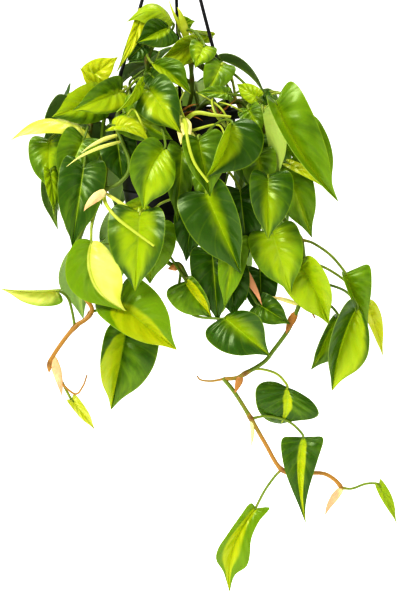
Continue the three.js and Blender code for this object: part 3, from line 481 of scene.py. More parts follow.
def finished(mesh, name, materials, nodes):
    """Move a shape into the frame as a piece that stands for CAD nodes, and return it."""
    bmesh.ops.transform(mesh, matrix=TO_FRAME, verts=mesh.verts)
    for face in mesh.faces:
        face.smooth = True
    data = mesh_data(mesh, name)
    data.set_sharp_from_angle(angle=math.radians(SMOOTH_ANGLE))
    for material in materials:
        data.materials.append(material)
    piece = add_object(name, data)
    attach(piece, "root")
    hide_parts(*nodes)
    data.calc_loop_triangles()
    print(f"{name}: {len(data.loop_triangles)} triangles")
    return piece


print("Each mesh has room for", len(MARKS), "marks")

# %% [markdown]
# ## Pot
# A nursery pot is one thin moulding: a foot ring, a tapered wall with three raised bands
# and a bead that the saucer clips over, a flat flange and a short skirt round the rim. Its
# profile is spun, its edges are rounded, and the strands' slots and the drain holes are cut
# out of it.

# %% Pot profile
RIM_HEIGHT = 118
RIM_RADIUS = 76
WALL_TOP_RADIUS = 68.4
WALL_BASE_RADIUS = 50.6
POT_WALL = 1.6
FLOOR_HEIGHT = 4
FOOT_RADIUS = 44
FLANGE = 2
SKIRT = 9
GAP = 0.3
STRAND_AZIMUTHS = (-35, 85, 205)
SLOT = (3.6, 6.2)
FOOT_CIRCLE = 71.6
DRAIN_RADIUS = 4
DRAIN_COUNT = 4
DRAIN_CIRCLE = 0.6 * FOOT_RADIUS
DRAIN_CUT = 8
FOOT_WALL = 2
BEAD = 0.9
BAND_HEIGHTS = (30, 60, 90)
RIM_CORNER = 0.8
POT_BEVEL = 0.35


def outer_radius(height):
    share = (height - FLOOR_HEIGHT) / (RIM_HEIGHT - FLANGE - FLOOR_HEIGHT)
    return blend(WALL_BASE_RADIUS, WALL_TOP_RADIUS, share)


def pot_profile():
    under = RIM_HEIGHT - FLANGE
    lip = RIM_RADIUS - POT_WALL
    steps = []
    for height in BAND_HEIGHTS:
        wall = outer_radius(height)
        steps += [(wall - 0.1, height - 0.4), (wall + 0.35, height),
                  (wall + 0.2, height + 1.6), (wall - 0.1, height + 2.2)]
    return [
        (0, FLOOR_HEIGHT), (FOOT_RADIUS - FOOT_WALL, FLOOR_HEIGHT), (FOOT_RADIUS - FOOT_WALL, POT_WALL + GAP),
        (FOOT_RADIUS, POT_WALL + GAP), (FOOT_RADIUS, FLOOR_HEIGHT), (WALL_BASE_RADIUS, FLOOR_HEIGHT),
        (outer_radius(5) + BEAD, 5.4), (outer_radius(6.4), 6.8), *steps,
        (outer_radius(under), under), (lip, under), (lip, RIM_HEIGHT - SKIRT),
        (RIM_RADIUS, RIM_HEIGHT - SKIRT),
        (RIM_RADIUS, RIM_HEIGHT - RIM_CORNER), (RIM_RADIUS - RIM_CORNER, RIM_HEIGHT),
        (outer_radius(RIM_HEIGHT) - POT_WALL, RIM_HEIGHT),
        (outer_radius(FLOOR_HEIGHT + POT_WALL) - POT_WALL, FLOOR_HEIGHT + POT_WALL),
        (0, FLOOR_HEIGHT + POT_WALL),
    ]


print("The pot's wall is spun from", len(pot_profile()), "points")


# %% Make the pot
def cut_out(piece, cutter_mesh):
    """Take a shape out of a piece, and leave a plain mesh."""
    bmesh.ops.transform(cutter_mesh, matrix=TO_FRAME, verts=cutter_mesh.verts)
    cutter = add_object("cutter", mesh_data(cutter_mesh, "cutter"))
    modifier = piece.modifiers.new("holes", "BOOLEAN")
    modifier.operation = "DIFFERENCE"
    modifier.solver = "EXACT"
    modifier.object = cutter
    graph = bpy.context.evaluated_depsgraph_get()
    cut = bpy.data.meshes.new_from_object(piece.evaluated_get(graph))
    piece.modifiers.clear()
    piece.data = cut
    bpy.data.objects.remove(cutter)


def make_pot():
    mesh = new_mesh()
    spun(mesh, pot_profile())
    round_edges(mesh, POT_BEVEL)
    pot = finished(mesh, "nursery_pot", [pot_plastic], ["pot"])
    holes = bmesh.new()
    for azimuth in STRAND_AZIMUTHS:
        block(holes, (*SLOT, 3 * FLANGE), azimuth, FOOT_CIRCLE, RIM_HEIGHT - FLANGE / 2)
    for i in range(DRAIN_COUNT):
        middle = Matrix.Translation(polar(360 * i / DRAIN_COUNT, DRAIN_CIRCLE, FLOOR_HEIGHT))
        bmesh.ops.create_cone(holes, cap_ends=True, segments=24, radius1=DRAIN_RADIUS, radius2=DRAIN_RADIUS,
                              depth=DRAIN_CUT, matrix=middle)
    cut_out(pot, holes)
    return pot


pot = make_pot()
print("Pot after the cuts:", len(pot.data.polygons), "faces")

# %% [markdown]
# ## Saucer
# The shallow dish clips over the bead near the pot's foot. It is spun from its
# profile too, with a thickened lip.

# %% Saucer
SAUCER_RADIUS = 54
SAUCER_HEIGHT = 9
SAUCER_WALL = 1.6
SAUCER_BEVEL = 0.3


def make_saucer():
    mesh = new_mesh()
    lip = SAUCER_RADIUS - SAUCER_WALL
    spun(mesh, [
        (0, 0), (SAUCER_RADIUS - 12, 0), (SAUCER_RADIUS - 11, 0.5), (SAUCER_RADIUS - 8, 0.5),
        (SAUCER_RADIUS - 7, 0), (SAUCER_RADIUS - 3, 0), (SAUCER_RADIUS - 1.4, 0.9), (SAUCER_RADIUS - 0.6, 3),
        (SAUCER_RADIUS, SAUCER_HEIGHT), (outer_radius(SAUCER_HEIGHT) + GAP, SAUCER_HEIGHT),
        (outer_radius(7.6) + GAP, 7.6), (lip, 6.8), (lip - 0.3, 3.4), (SAUCER_RADIUS - 4, SAUCER_WALL),
        (0, SAUCER_WALL),
    ])
    round_edges(mesh, SAUCER_BEVEL)
    finished(mesh, "clipped_saucer", [pot_plastic], ["saucer"])


make_saucer()

# %% [markdown]
# ## Helpers for long parts
# Everything long, such as a strand, a stem or a root, is a grid rolled up along a smooth
# route. The route is read at even distances, so that the rings of the tube are evenly
# spaced however far apart its points are.

# %% Routes
ROUTE_PARTS = 200


class Route:
    """A smooth curve through points, read at even distances."""

    def __init__(self, points):
        first = 2 * points[0] - points[1]
        last = 2 * points[-1] - points[-2]
        self.points = [first, *points, last]
        self.spans = len(points) - 1
        self.lengths = [0.0]
        fine = [self.at(i / ROUTE_PARTS) for i in range(ROUTE_PARTS + 1)]
        for before, after in zip(fine, fine[1:]):
            self.lengths.append(self.lengths[-1] + (after - before).length)
        self.length = self.lengths[-1]

    def at(self, share):
        span = min(int(share * self.spans), self.spans - 1)
        t = share * self.spans - span
        before, start, end, after = self.points[span:span + 4]
        leaving = (end - before) / 2
        arriving = (after - start) / 2
        rise = end - start
        return (start + leaving * t + (3 * rise - 2 * leaving - arriving) * t ** 2
                + (leaving + arriving - 2 * rise) * t ** 3)

    def spaced(self, steps):
        """Points at even distances along the curve."""
        found = []
        i = 0
        for step in range(steps + 1):
            wanted = self.length * step / steps
            while i < ROUTE_PARTS - 1 and self.lengths[i + 1] < wanted:
                i += 1
            gap = self.lengths[i + 1] - self.lengths[i]
            share = (i + (wanted - self.lengths[i]) / gap) / ROUTE_PARTS
            found.append(self.at(min(share, 1.0)))
        return found


print("A route is measured in", ROUTE_PARTS, "parts")


# %% Tubes
def set_material(verts, number):
    for face in {face for vert in verts for face in vert.link_faces}:
        face.material_index = number


def value_at(value, share):
    """The number itself, or what a function gives at this share of the way."""
    return value(share) if callable(value) else value


def tube(mesh, points, radius, sides, steps, material=0, marks=None, flat=1.0, facing=None):
    """A closed tube along a route. Its radius and each mark are a number or a function.

    A flat tube is thin towards the way it is facing.
    """
    centres = Route(points).spaced(steps)
    grid = bmesh.ops.create_grid(mesh, x_segments=sides, y_segments=steps + 2, size=0.5, calc_uvs=True)
    made = grid["verts"]
    ways = [(centres[min(i + 1, steps)] - centres[max(i - 1, 0)]).normalized() for i in range(steps + 1)]
    across = [(ways[0].cross(facing) if facing else ways[0].orthogonal()).normalized()]
    for way in ways[1:]:
        across.append((across[-1] - way * across[-1].dot(way)).normalized())
    layers = {name: mesh.verts.layers.float[name] for name in (marks or {})}
    for vert in made:
        row = round((vert.co.y + 0.5) * (steps + 2)) - 1
        step = min(max(row, 0), steps)
        angle = 2 * math.pi * (vert.co.x + 0.5)
        reach = value_at(radius, step / steps) if row == step else 0
        up = ways[step].cross(across[step])
        sideways = across[step] * (reach * math.cos(angle))
        vert.co = centres[step] + sideways + up * (reach * flat * math.sin(angle))
        for name, layer in layers.items():
            vert[layer] = value_at(marks[name], step / steps)
    set_material(made, material)
    faces = {face for vert in made for face in vert.link_faces}
    bmesh.ops.remove_doubles(mesh, verts=made, dist=WELD)
    bmesh.ops.recalc_face_normals(mesh, faces=[face for face in faces if face.is_valid])


print("A tube's seam is welded within", WELD, "mm")

# %% [markdown]
# ## Hanger
# Three round strands rise from barbed feet in the rim's slots to a small hub, whose hook
# holds the whole plant. Each strand is a tube along a route that bows out a little, as a
# moulded strand does.

# %% Hanger
STRAND_RADIUS = 1.8
STRAND_FOOT = (2.6, 5, 12)
STRAND_BARB = (3.4, 8, 2.4)
HUB_HEIGHT = 340
HUB_LENGTH = 16
HUB_RADIUS = 6
HOOK_RADIUS = 11
HOOK_WIRE = 2.3
HOOK_CENTRE = 374
# sides and steps of the two kinds of tube
STRAND_MESH = (14, 48)
HOOK_MESH = (18, 90)
HOOK_POINTS = 11
HOOK_START = -45
HOOK_TURN = 25.5
HANGER_BEVEL = 0.25
HANGER_EDGE = 50


def make_hanger():
    mesh = new_mesh()
    top = HUB_HEIGHT + HUB_LENGTH
    spun(mesh, [(0, HUB_HEIGHT), (HUB_RADIUS - 1, HUB_HEIGHT), (HUB_RADIUS, HUB_HEIGHT + 1),
                (HUB_RADIUS, HUB_HEIGHT + 4), (HUB_RADIUS - 0.6, HUB_HEIGHT + 4.6),
                (HUB_RADIUS, HUB_HEIGHT + 5.2), (HUB_RADIUS, HUB_HEIGHT + HUB_LENGTH * 0.6),
                (HOOK_WIRE + 0.4, top), (0, top)], 32)
    for azimuth in STRAND_AZIMUTHS:
        tube(mesh, [
            polar(azimuth, FOOT_CIRCLE, RIM_HEIGHT + 1), polar(azimuth, FOOT_CIRCLE - 1, RIM_HEIGHT + 8),
            polar(azimuth, FOOT_CIRCLE * 0.5, (RIM_HEIGHT + HUB_HEIGHT) / 2 + 3),
            polar(azimuth, HUB_RADIUS * 0.4, HUB_HEIGHT + 5),
        ], STRAND_RADIUS, *STRAND_MESH)
        block(mesh, STRAND_FOOT, azimuth, FOOT_CIRCLE, RIM_HEIGHT)
        block(mesh, STRAND_BARB, azimuth, FOOT_CIRCLE, RIM_HEIGHT - (STRAND_FOOT[2] - STRAND_BARB[2]) / 2)
    bend = [Vector((0, 0, top - 4)), Vector((1, 0, top + 2))]
    for i in range(HOOK_POINTS):
        turn = math.radians(HOOK_START + HOOK_TURN * i)
        bend.append(Vector((HOOK_RADIUS * math.cos(turn), 0, HOOK_CENTRE + HOOK_RADIUS * math.sin(turn))))
    tube(mesh, bend, lambda share: HOOK_WIRE * min(1, math.sqrt(max(1.0001 - share, 0)) * 5), *HOOK_MESH)
    round_edges(mesh, HANGER_BEVEL, HANGER_EDGE)
    finished(mesh, "strand_hanger", [hanger_plastic], ["hanger"])


make_hanger()

# %% [markdown]
# ## Random numbers that repeat
# A seeded row of random numbers gives each chip, stem and leaf its own small differences,
# the same ones at every run. Marks are numbers on the mesh that a finish can read.

# %% Random numbers and marks
RANDOM_FACTOR = 1664525
RANDOM_STEP = 1013904223
RANDOM_RANGE = 4294967296


def draws(seed):
    """A repeatable source of numbers between two limits."""
    state = [seed]

    def draw(low, high):
        state[0] = (state[0] * RANDOM_FACTOR + RANDOM_STEP) % RANDOM_RANGE
        return low + (high - low) * state[0] / RANDOM_RANGE
    return draw


def paint(mesh, verts, **values):
    """Give vertices numbers that the finishes read."""
    for name, value in values.items():
        layer = mesh.verts.layers.float[name]
        for vert in verts:
            vert[layer] = value


print("A first random share:", round(draws(1)(0, 1), 3))

# %% [markdown]
# ## Potting mix
# The mix fills the pot almost to its rim, a little higher in the middle. The surface is a
# spun disc that noise makes lumpy. Bark chips, crumbs and a few white perlite grains are
# strewn over it, each a small block or ball pushed out of shape.

# %% Potting mix
SOIL_TOP = 105
SOIL_DOME = 5
SOIL_LUMP = 1.6
SOIL_WAVES = (0.19, 0.23)
SOIL_GRAIN = 1.2
SOIL_GRAIN_SIZE = 6
SOIL_RINGS = 22
SOIL_SEED = 41
CHIPS = 420
CHIP_SIZES = ((3, 9), (2, 5), (0.8, 2.4))
CHIP_BEVEL = 0.35
CRUMBS = 260
CRUMB_SIZES = (0.5, 1.5)
PERLITE_TONE = 2.0
PERLITE_EVERY = 9


def soil_height(x, y):
    reach = outer_radius(SOIL_TOP) - POT_WALL - GAP
    rise = SOIL_DOME * (1 - (x * x + y * y) / reach ** 2)
    wave = SOIL_LUMP * math.sin(SOIL_WAVES[0] * x + 1) * math.cos(SOIL_WAVES[1] * y)
    return SOIL_TOP + rise + wave + SOIL_GRAIN * noise.noise(Vector((x, y, 0)) / SOIL_GRAIN_SIZE)


def strew(mesh, draw, reach):
    """The place and turn of one grain that lies on the mix."""
    spot = polar(draw(0, 360), reach * math.sqrt(draw(0, 1)), 0)
    spot.z = soil_height(spot.x, spot.y) + draw(-0.3, 1.0)
    turn = Matrix.Rotation(draw(0, 6.28), 4, "Z") @ Matrix.Rotation(draw(-0.5, 0.5), 4, "X")
    return Matrix.Translation(spot) @ turn


def make_soil():
    mesh = new_mesh()
    floor = FLOOR_HEIGHT + POT_WALL + GAP
    inside = [outer_radius(height) - POT_WALL - GAP - 0.2 for height in (floor, SOIL_TOP)]
    rings = [(inside[1] * (1 - i / SOIL_RINGS), SOIL_TOP) for i in range(1, SOIL_RINGS + 1)]
    spun(mesh, [(0, floor), (inside[0], floor), (inside[1], SOIL_TOP - 1), *rings])
    for vert in mesh.verts:
        if vert.co.z > SOIL_TOP - 0.5:
            vert.co.z = soil_height(vert.co.x, vert.co.y)
    draw = draws(SOIL_SEED)
    for i in range(CHIPS):
        place = strew(mesh, draw, inside[1] - 5)
        size = [draw(low, high) for low, high in CHIP_SIZES]
        chip = bmesh.ops.create_cube(mesh, size=1, matrix=place @ Matrix.Diagonal((*size, 1)))["verts"]
        for vert in chip:
            vert.co += Vector((draw(-0.8, 0.8), draw(-0.8, 0.8), draw(-0.4, 0.4)))
        edges = list({edge for vert in chip for edge in vert.link_edges})
        paint(mesh, chip, tone=draw(0.1, 1.1))
        bmesh.ops.bevel(mesh, geom=edges, offset=CHIP_BEVEL, offset_type="OFFSET", affect="EDGES",
                        segments=1, profile=0.5, material=-1)
    for i in range(CRUMBS):
        place = strew(mesh, draw, inside[1] - 4)
        size = draw(*CRUMB_SIZES)
        crumb = bmesh.ops.create_icosphere(mesh, subdivisions=1, radius=size, matrix=place)["verts"]
        for vert in crumb:
            vert.co += Vector((draw(-0.3, 0.3), draw(-0.3, 0.3), draw(-0.3, 0.3))) * size
        paint(mesh, crumb, tone=PERLITE_TONE if i % PERLITE_EVERY == 0 else draw(0.0, 0.5))
    finished(mesh, "bark_and_peat", [mix_material], ["potting_mix"])


make_soil()

# %% [markdown]
# ## Where the stems run
# Each stem roots in the mix, leans over the rim and hangs. The front stems follow the
# picture: each place is [across, down] in it and a depth in millimetres. The stems at
# the sides and back can't be seen, so a rule lets them hang at even spaces, each with
# its own sway.

# %% Stem routes
ROOT_DEPTH = 20
FRONT_VINES = [
    ["vine_left", [228, 44], [228], [[
        [116, 126, -78], [122, 142, -90], [129, 160, -97], [128, 173, -100], [118, 184, -101],
        [104, 191, -102], [93, 208, -99], [80, 236, -94], [71, 262, -92], [75, 282, -95],
        [85, 298, -99], [92, 309, -102], [86, 319, -105], [76, 326, -107], [64, 340, -109],
        [51, 360, -111], [49, 372, -112]]]],
    ["vine_far_left", [190, 44], [188], [[
        [92, 118, -22], [88, 140, -44], [84, 165, -62], [80, 190, -74], [76, 214, -80]]]],
    ["vine_centre_left", [248, 40], [248], [[
        [152, 124, -88], [147, 150, -94], [143, 180, -96], [145, 205, -94], [152, 230, -90],
        [160, 252, -90], [170, 264, -94], [178, 264, -98], [184, 272, -100], [189, 282, -101]]]],
    ["vine_centre", [276, 42], [276], [[
        [186, 124, -90], [204, 150, -97], [212, 180, -97], [222, 210, -95], [232, 240, -94],
        [237, 262, -93], [241, 285, -92], [246, 300, -92]]]],
    ["vine_trailing", [302, 44], [303], [
        [[224, 124, -80], [238, 142, -90], [252, 165, -94], [268, 195, -92], [286, 222, -90],
         [300, 238, -90], [304, 262, -92], [303, 285, -94], [300, 302, -96], [293, 320, -98],
         [287, 332, -99], [273, 351, -100], [264, 362, -101], [246, 373, -102],
         [236, 378, -102], [221, 379, -102]],
        [[223, 378, -102], [235, 393, -104], [250, 417, -106], [265, 443, -106],
         [280, 468, -104], [297, 475, -99], [313, 473, -97], [325, 474, -96], [335, 480, -95],
         [342, 488, -95]]]],
    ["vine_right", [342, 40], [344], [[
        [256, 112, -34], [265, 128, -50], [273, 150, -62], [280, 175, -70], [286, 198, -74]]]],
    ["vine_crown_left", [165, 20], [], [[
        [150, 92, -8], [147, 64, -14], [150, 48, -14], [161, 40, -12]]]],
    ["vine_crown_right", [20, 16], [], [[
        [192, 92, -4], [191, 66, -8], [189, 46, -8], [184, 32, -6]]]],
]
# azimuth and drop of each stem that hangs out of sight
BACK_VINES = [[2, 150], [29, 110], [56, 190], [101, 130], [127, 170], [152, 90], [172, 80]]
BACK_ROOT_CIRCLE = 46
BACK_SEED = 100
BACK_SPAN = 30
RIM_CLEARANCE = 12
RIM_DIP = 3
STEM_RISE = 9
# radius, and height above the rim, of a stem that leans over it
OVER_RIM = ((0.82 * RIM_RADIUS, 7), (RIM_RADIUS, 8), (RIM_RADIUS + 9, -RIM_DIP))


print(len(FRONT_VINES), "stems in the picture and", len(BACK_VINES), "out of sight")


# %% Stems from the tables
def out_of_soil(azimuth, radius):
    return [polar(azimuth, radius, SOIL_TOP + rise) for rise in (-ROOT_DEPTH, -0.3 * ROOT_DEPTH, STEM_RISE)]


def over_rim(azimuth):
    return [polar(azimuth, radius, RIM_HEIGHT + rise) for radius, rise in OVER_RIM]


def front_vine(name, root, rim, routes):
    start = out_of_soil(*root)
    if rim:
        start += over_rim(rim[0])
    runs = [[seen(place) for place in route] for route in routes]
    runs[0] = start + runs[0]
    return {"name": name, "runs": runs, "azimuth": None, "drop": None}


def back_vine(number, azimuth, drop):
    draw = draws(BACK_SEED + number)
    points = out_of_soil(azimuth, BACK_ROOT_CIRCLE) + over_rim(azimuth)
    spans = int(drop / BACK_SPAN + 0.5)
    side = azimuth
    for i in range(1, spans + 1):
        side += draw(-5, 5)
        radius = RIM_RADIUS + RIM_CLEARANCE + draw(0, 6)
        points.append(polar(side, radius, RIM_HEIGHT - RIM_DIP - i * drop / spans))
    return {"name": f"vine_back_{number + 1}", "runs": [points], "azimuth": azimuth, "drop": drop}


vines = [front_vine(*row) for row in FRONT_VINES]
vines += [back_vine(number, *row) for number, row in enumerate(BACK_VINES)]
print(len(vines), "stems")

# %% [markdown]
# ## The leaves in a table
# A leaf is a joint, where its stalk meets the blade, a tip, and how wide, rolled, folded
# and bowed it is. The word after that is its look, which the next table explains.

# %% Front leaves
# By stem: joint and tip in the picture, width to length, roll, folds of the left and right
# halves in degrees, bow off the face, sway to the right, look, and the outlines of the two
# halves where they aren't both heart-shaped.
FRONT_LEAVES = [
    ["vine_far_left", [
        [[84, 129, -62], [11, 140, -80], 0.46, -70, -10, -40, 0.18, 0, "cream"],
        [[100, 100, -36], [52, 117, -56], 0.75, 0, 10, 10, 0.05, 0, "lime_half"],
        [[122, 91, -70], [72, 111, -92], 0.62, 0, 15, 12, 0.08, 0, "lime_right"],
        [[142, 82, -84], [117, 112, -98], 0.5, 65, 10, 10, 0.05, 0, "lime"],
        [[50, 140, -60], [50, 193, -78], 0.78, -15, 5, 20, 0.08, 0, "streak"],
        [[84, 138, -78], [60, 190, -92], 0.75, 0, 10, 10, 0.06, 0, "deep"],
        [[84, 165, -100], [72, 247, -118], 0.58, 0, 12, 12, 0.06, 0, "dark"],
        [[50, 170, -84], [54, 214, -90], 0.4, 30, 10, 10, 0.04, 0, "lime_half"],
        [[90, 77, -36], [118, 57, -46], 0.72, 0, 10, 10, 0.05, 0, "gold"],
        [[101, 90, -28], [80, 68, -34], 0.5, 0, 15, 15, 0.05, 0, "pale"],
    ]],
    ["vine_left", [
        [[92, 241, -122], [126, 311, -126], 0.74, 0, 20, 10, 0.06, -0.2, "cream_right", "heart", "sloped"],
        [[117, 302, -110], [177, 350, -118], 0.86, 0, 50, 5, 0.07, 0, "gold_tip_left", "round", "heart"],
        [[126, 331, -92], [111, 410, -96], 0.86, 0, 55, 5, 0.06, 0, "gold_left"],
        [[58, 291, -96], [1, 289, -100], 0.52, 0, 84, 5, -0.02, 0.03, "fading"],
        [[72, 400, -112], [95, 430, -114], 0.35, 20, 20, 20, 0.03, 0, "pale_gold"],
        [[117, 139, -88], [123, 184, -94], 0.85, 0, 10, 10, 0.06, 0, "dark"],
    ]],
    ["vine_centre_left", [
        [[140, 213, -108], [135, 292, -114], 0.78, 0, 0, 35, 0.08, 0, "mid_centre"],
        [[148, 226, -96], [150, 284, -100], 0.95, 0, 10, 5, 0.06, 0, "fresh"],
        [[165, 148, -122], [144, 210, -132], 0.8, 0, 25, 10, 0.1, -0.1, "lime_soft", "heart", "sloped"],
        [[148, 88, -92], [181, 133, -110], 0.8, 0, 8, 8, 0.08, 0, "centre_tip"],
        [[124, 112, -90], [173, 140, -104], 0.72, 0, 10, 10, 0.05, 0, "fresh"],
        [[113, 126, -104], [150, 143, -114], 0.55, 35, 20, 20, 0.12, 0.1, "gold_streak"],
        [[186, 281, -106], [212, 318, -106], 1.1, 0, 5, 70, 0.05, 0, "gold_right"],
        # this leaf's look is painted shade, for the shadow it lies in
        [[193, 205, -94], [186, 262, -98], 0.62, 0, 10, 10, 0.06, 0, "shade"],
        [[146, 204, -98], [112, 216, -104], 0.5, 0, 10, 10, 0.06, 0, "fresh_centre"],
        [[224, 317, -112], [270, 356, -130], 0.95, 0, 5, 40, 0.1, 0, "fresh_right", "heart", "sloped"],
    ]],
    ["vine_centre", [
        [[198, 138, -110], [210, 196, -118], 0.86, 0, 50, 5, 0.06, 0, "deep"],
        [[232, 123, -112], [206, 177, -128], 1.15, 0, 75, 5, 0.08, 0.1, "lime_sweep", "sloped", "round"],
        [[182, 148, -98], [177, 222, -102], 0.42, 0, 10, 10, 0.06, 0, "deep"],
        [[203, 172, -112], [217, 233, -118], 0.4, 0, 10, 10, 0.05, 0, "fresh"],
        [[206, 192, -116], [241, 274, -124], 0.74, 0, 5, 50, 0.06, 0, "lime_base"],
        # this leaf's look is painted shade, for the shadow it lies in
        [[240, 190, -100], [248, 258, -104], 0.66, 0, 10, 10, 0.05, 0, "shade"],
        [[236, 240, -108], [224, 308, -114], 0.42, 0, 10, 10, 0.05, 0, "fresh"],
        [[212, 252, -100], [218, 322, -104], 0.66, 0, 10, 10, 0.05, 0, "dark"],
        [[258, 304, -92], [290, 324, -98], 0.75, 0, 10, 10, 0.05, 0, "dark"],
        # the next two leaves' look is painted shade, for the shadow they lie in
        [[230, 268, -90], [234, 318, -92], 0.75, 0, 10, 10, 0.05, 0, "shade"],
        [[260, 270, -92], [262, 320, -94], 0.7, 0, 10, 10, 0.05, 0, "shade"],
        [[250, 140, -90], [254, 194, -96], 0.8, 0, 10, 10, 0.05, 0, "dark"],
    ]],
    ["vine_trailing", [
        [[288, 164, -96], [331, 192, -104], 0.36, 60, 10, 10, 0.04, 0, "pale"],
        [[286, 166, -90], [312, 238, -98], 0.55, 0, 10, 10, 0.06, 0, "fresh"],
        [[258, 152, -104], [262, 200, -110], 0.74, 0, 10, 10, 0.06, 0, "fresh"],
        [[268, 176, -120], [268, 240, -130], 0.8, 0, 45, 5, 0.08, 0, "flare"],
        [[272, 232, -112], [291, 294, -122], 0.82, 0, 8, 8, 0.08, 0, "pale_centre"],
        [[300, 265, -106], [329, 325, -112], 0.78, 0, 8, 50, 0.08, 0.04, "lime"],
        [[345, 273, -98], [369, 336, -90], 0.72, 0, 82, 5, 0.06, 0, "fresh", "heart", "square"],
        [[338, 318, -94], [311, 370, -88], 0.76, 0, 75, 5, 0.06, 0, "streak"],
        [[357, 308, -116], [332, 391, -118], 0.62, 0, 60, 5, 0.08, -0.04, "lime_tip", "heart", "sloped"],
        [[368, 306, -84], [383, 356, -88], 0.36, 40, 10, 10, 0.04, 0, "pale_gold"],
        [[287, 387, -98], [281, 424, -92], 1.6, 0, 5, 5, 0.15, 0.08, "rib", "oval", "sloped"],
        [[303, 437, -96], [306, 524, -100], 0.48, 0, 8, 15, 0.05, -0.05, "rib_right", "square", "square"],
        [[256, 508, -98], [230, 593, -102], 0.4, 0, 40, 10, 0.06, -0.11, "rib_tip", "waisted", "waisted"],
        [[379, 485, -92], [397, 524, -94], 0.36, 50, 10, 10, 0.03, 0, "lime"],
    ]],
    ["vine_crown_left", [
        [[152, 63, -58], [191, 94, -76], 0.62, 0, 70, 10, 0.08, 0.05, "lime_left", "sloped", "sloped"],
    ]],
    ["vine_right", [
        [[222, 64, -44], [205, 98, -68], 0.72, 0, 10, 10, 0.08, 0, "fresh"],
        [[229, 94, -78], [196, 93, -88], 0.46, -30, 10, 10, 0.06, 0, "fresh"],
        [[258, 98, -62], [237, 84, -40], 0.55, 0, 10, 10, 0.06, 0, "lime"],
        [[267, 108, -70], [268, 88, -60], 0.55, 0, 10, 10, 0.05, 0, "dark"],
        [[248, 108, -86], [262, 137, -98], 0.72, 0, 10, 10, 0.06, 0, "fresh"],
        [[263, 110, -92], [278, 183, -108], 0.6, 160, 10, 80, -0.05, 0, "pale"],
        [[276, 103, -98], [338, 201, -110], 0.5, 0, 75, 8, 0.09, -0.04, "bright_left"],
        [[300, 128, -76], [333, 190, -86], 0.6, 0, 10, 10, 0.06, 0, "bright"],
    ]],
    ["vine_crown_left", [
        [[173, 24, -10], [127, 22, -26], 0.66, -50, -10, -58, 0.35, 0, "lime", "heart", "sloped"],
        [[169, 27, -22], [136, 43, -34], 0.92, 0, 31, 12, 0.06, 0, "deep_edge", "sloped", "heart"],
        [[143, 45, -28], [127, 61, -38], 0.8, 0, 10, 10, 0.05, 0, "dark"],
    ]],
    ["vine_crown_right", [
        [[200, 40, -14], [160, 60, -34], 0.7, 0, 55, 5, 0.1, 0, "lime", "sloped", "oval"],
        [[204, 46, -24], [195, 68, -46], 0.9, 0, 10, 10, 0.06, 0, "fresh_centre"],
        [[211, 37, 36], [185, 29, 30], 0.55, 40, 10, 10, 0.05, 0, "pale"],
        [[180, 25, 0], [195, 21, -8], 1.0, 0, 10, 10, 0.05, 0, "bright"],
    ]],
    ["vine_right", [
        [[268, 128, -30], [282, 196, -34], 0.78, 60, 10, 10, 0.06, 0, "deep"],
        [[258, 150, -10], [262, 214, -16], 0.78, 75, 10, 10, 0.06, 0, "dark"],
    ]],
    ["vine_far_left", [
        [[92, 124, -42], [84, 190, -48], 0.78, -65, 10, 10, 0.06, 0, "deep"],
        [[84, 150, -14], [80, 214, -18], 0.78, -75, 10, 10, 0.06, 0, "dark"],
    ]],
    ["vine_crown_left", [
        [[142, 15, -14], [116, 73, -40], 0.18, 0, 10, 10, 0.05, 0.03, "gold_top"],
        [[152, 68, -10], [166, 86, -20], 0.9, 0, 10, 10, 0.05, 0, "fresh"],
        [[150, 74, -30], [176, 98, -44], 0.8, 0, 10, 10, 0.05, 0, "dark"],
    ]],
]
# Leaves whose stalk starts at a known place on the stem: the joint, the place, and how
# much the stalk rises at its start.
USUAL_LIFT = 0.32
KNOWN_STARTS = [
    [[92, 241], [104, 192], 0.1], [[224, 317], [182, 264], 0.05], [[345, 273], [302, 238], 0.16],
    [[357, 308], [303, 285], 0.2], [[338, 318], [301, 303], 0.2], [[368, 306], [304, 262], 0.2],
    [[287, 387], [246, 374], 0.32], [[303, 437], [251, 418], 0.2], [[256, 508], [281, 469], 0.1],
    [[379, 485], [342, 488], -0.2],
]
FRONT_COUNT = sum(len(rows) for stem, rows in FRONT_LEAVES)
print(FRONT_COUNT, "front leaves")

# %% [markdown]
# A look says how wide the pale flame is on the left half, at the joint and at the tip,
# then on the right half, as shares of that half. Then come the flame's tint, from lime
# at 0 over yellow to cream at 1, how fresh the green beside it is, and how brushed and how
# soft the flame's edge is.

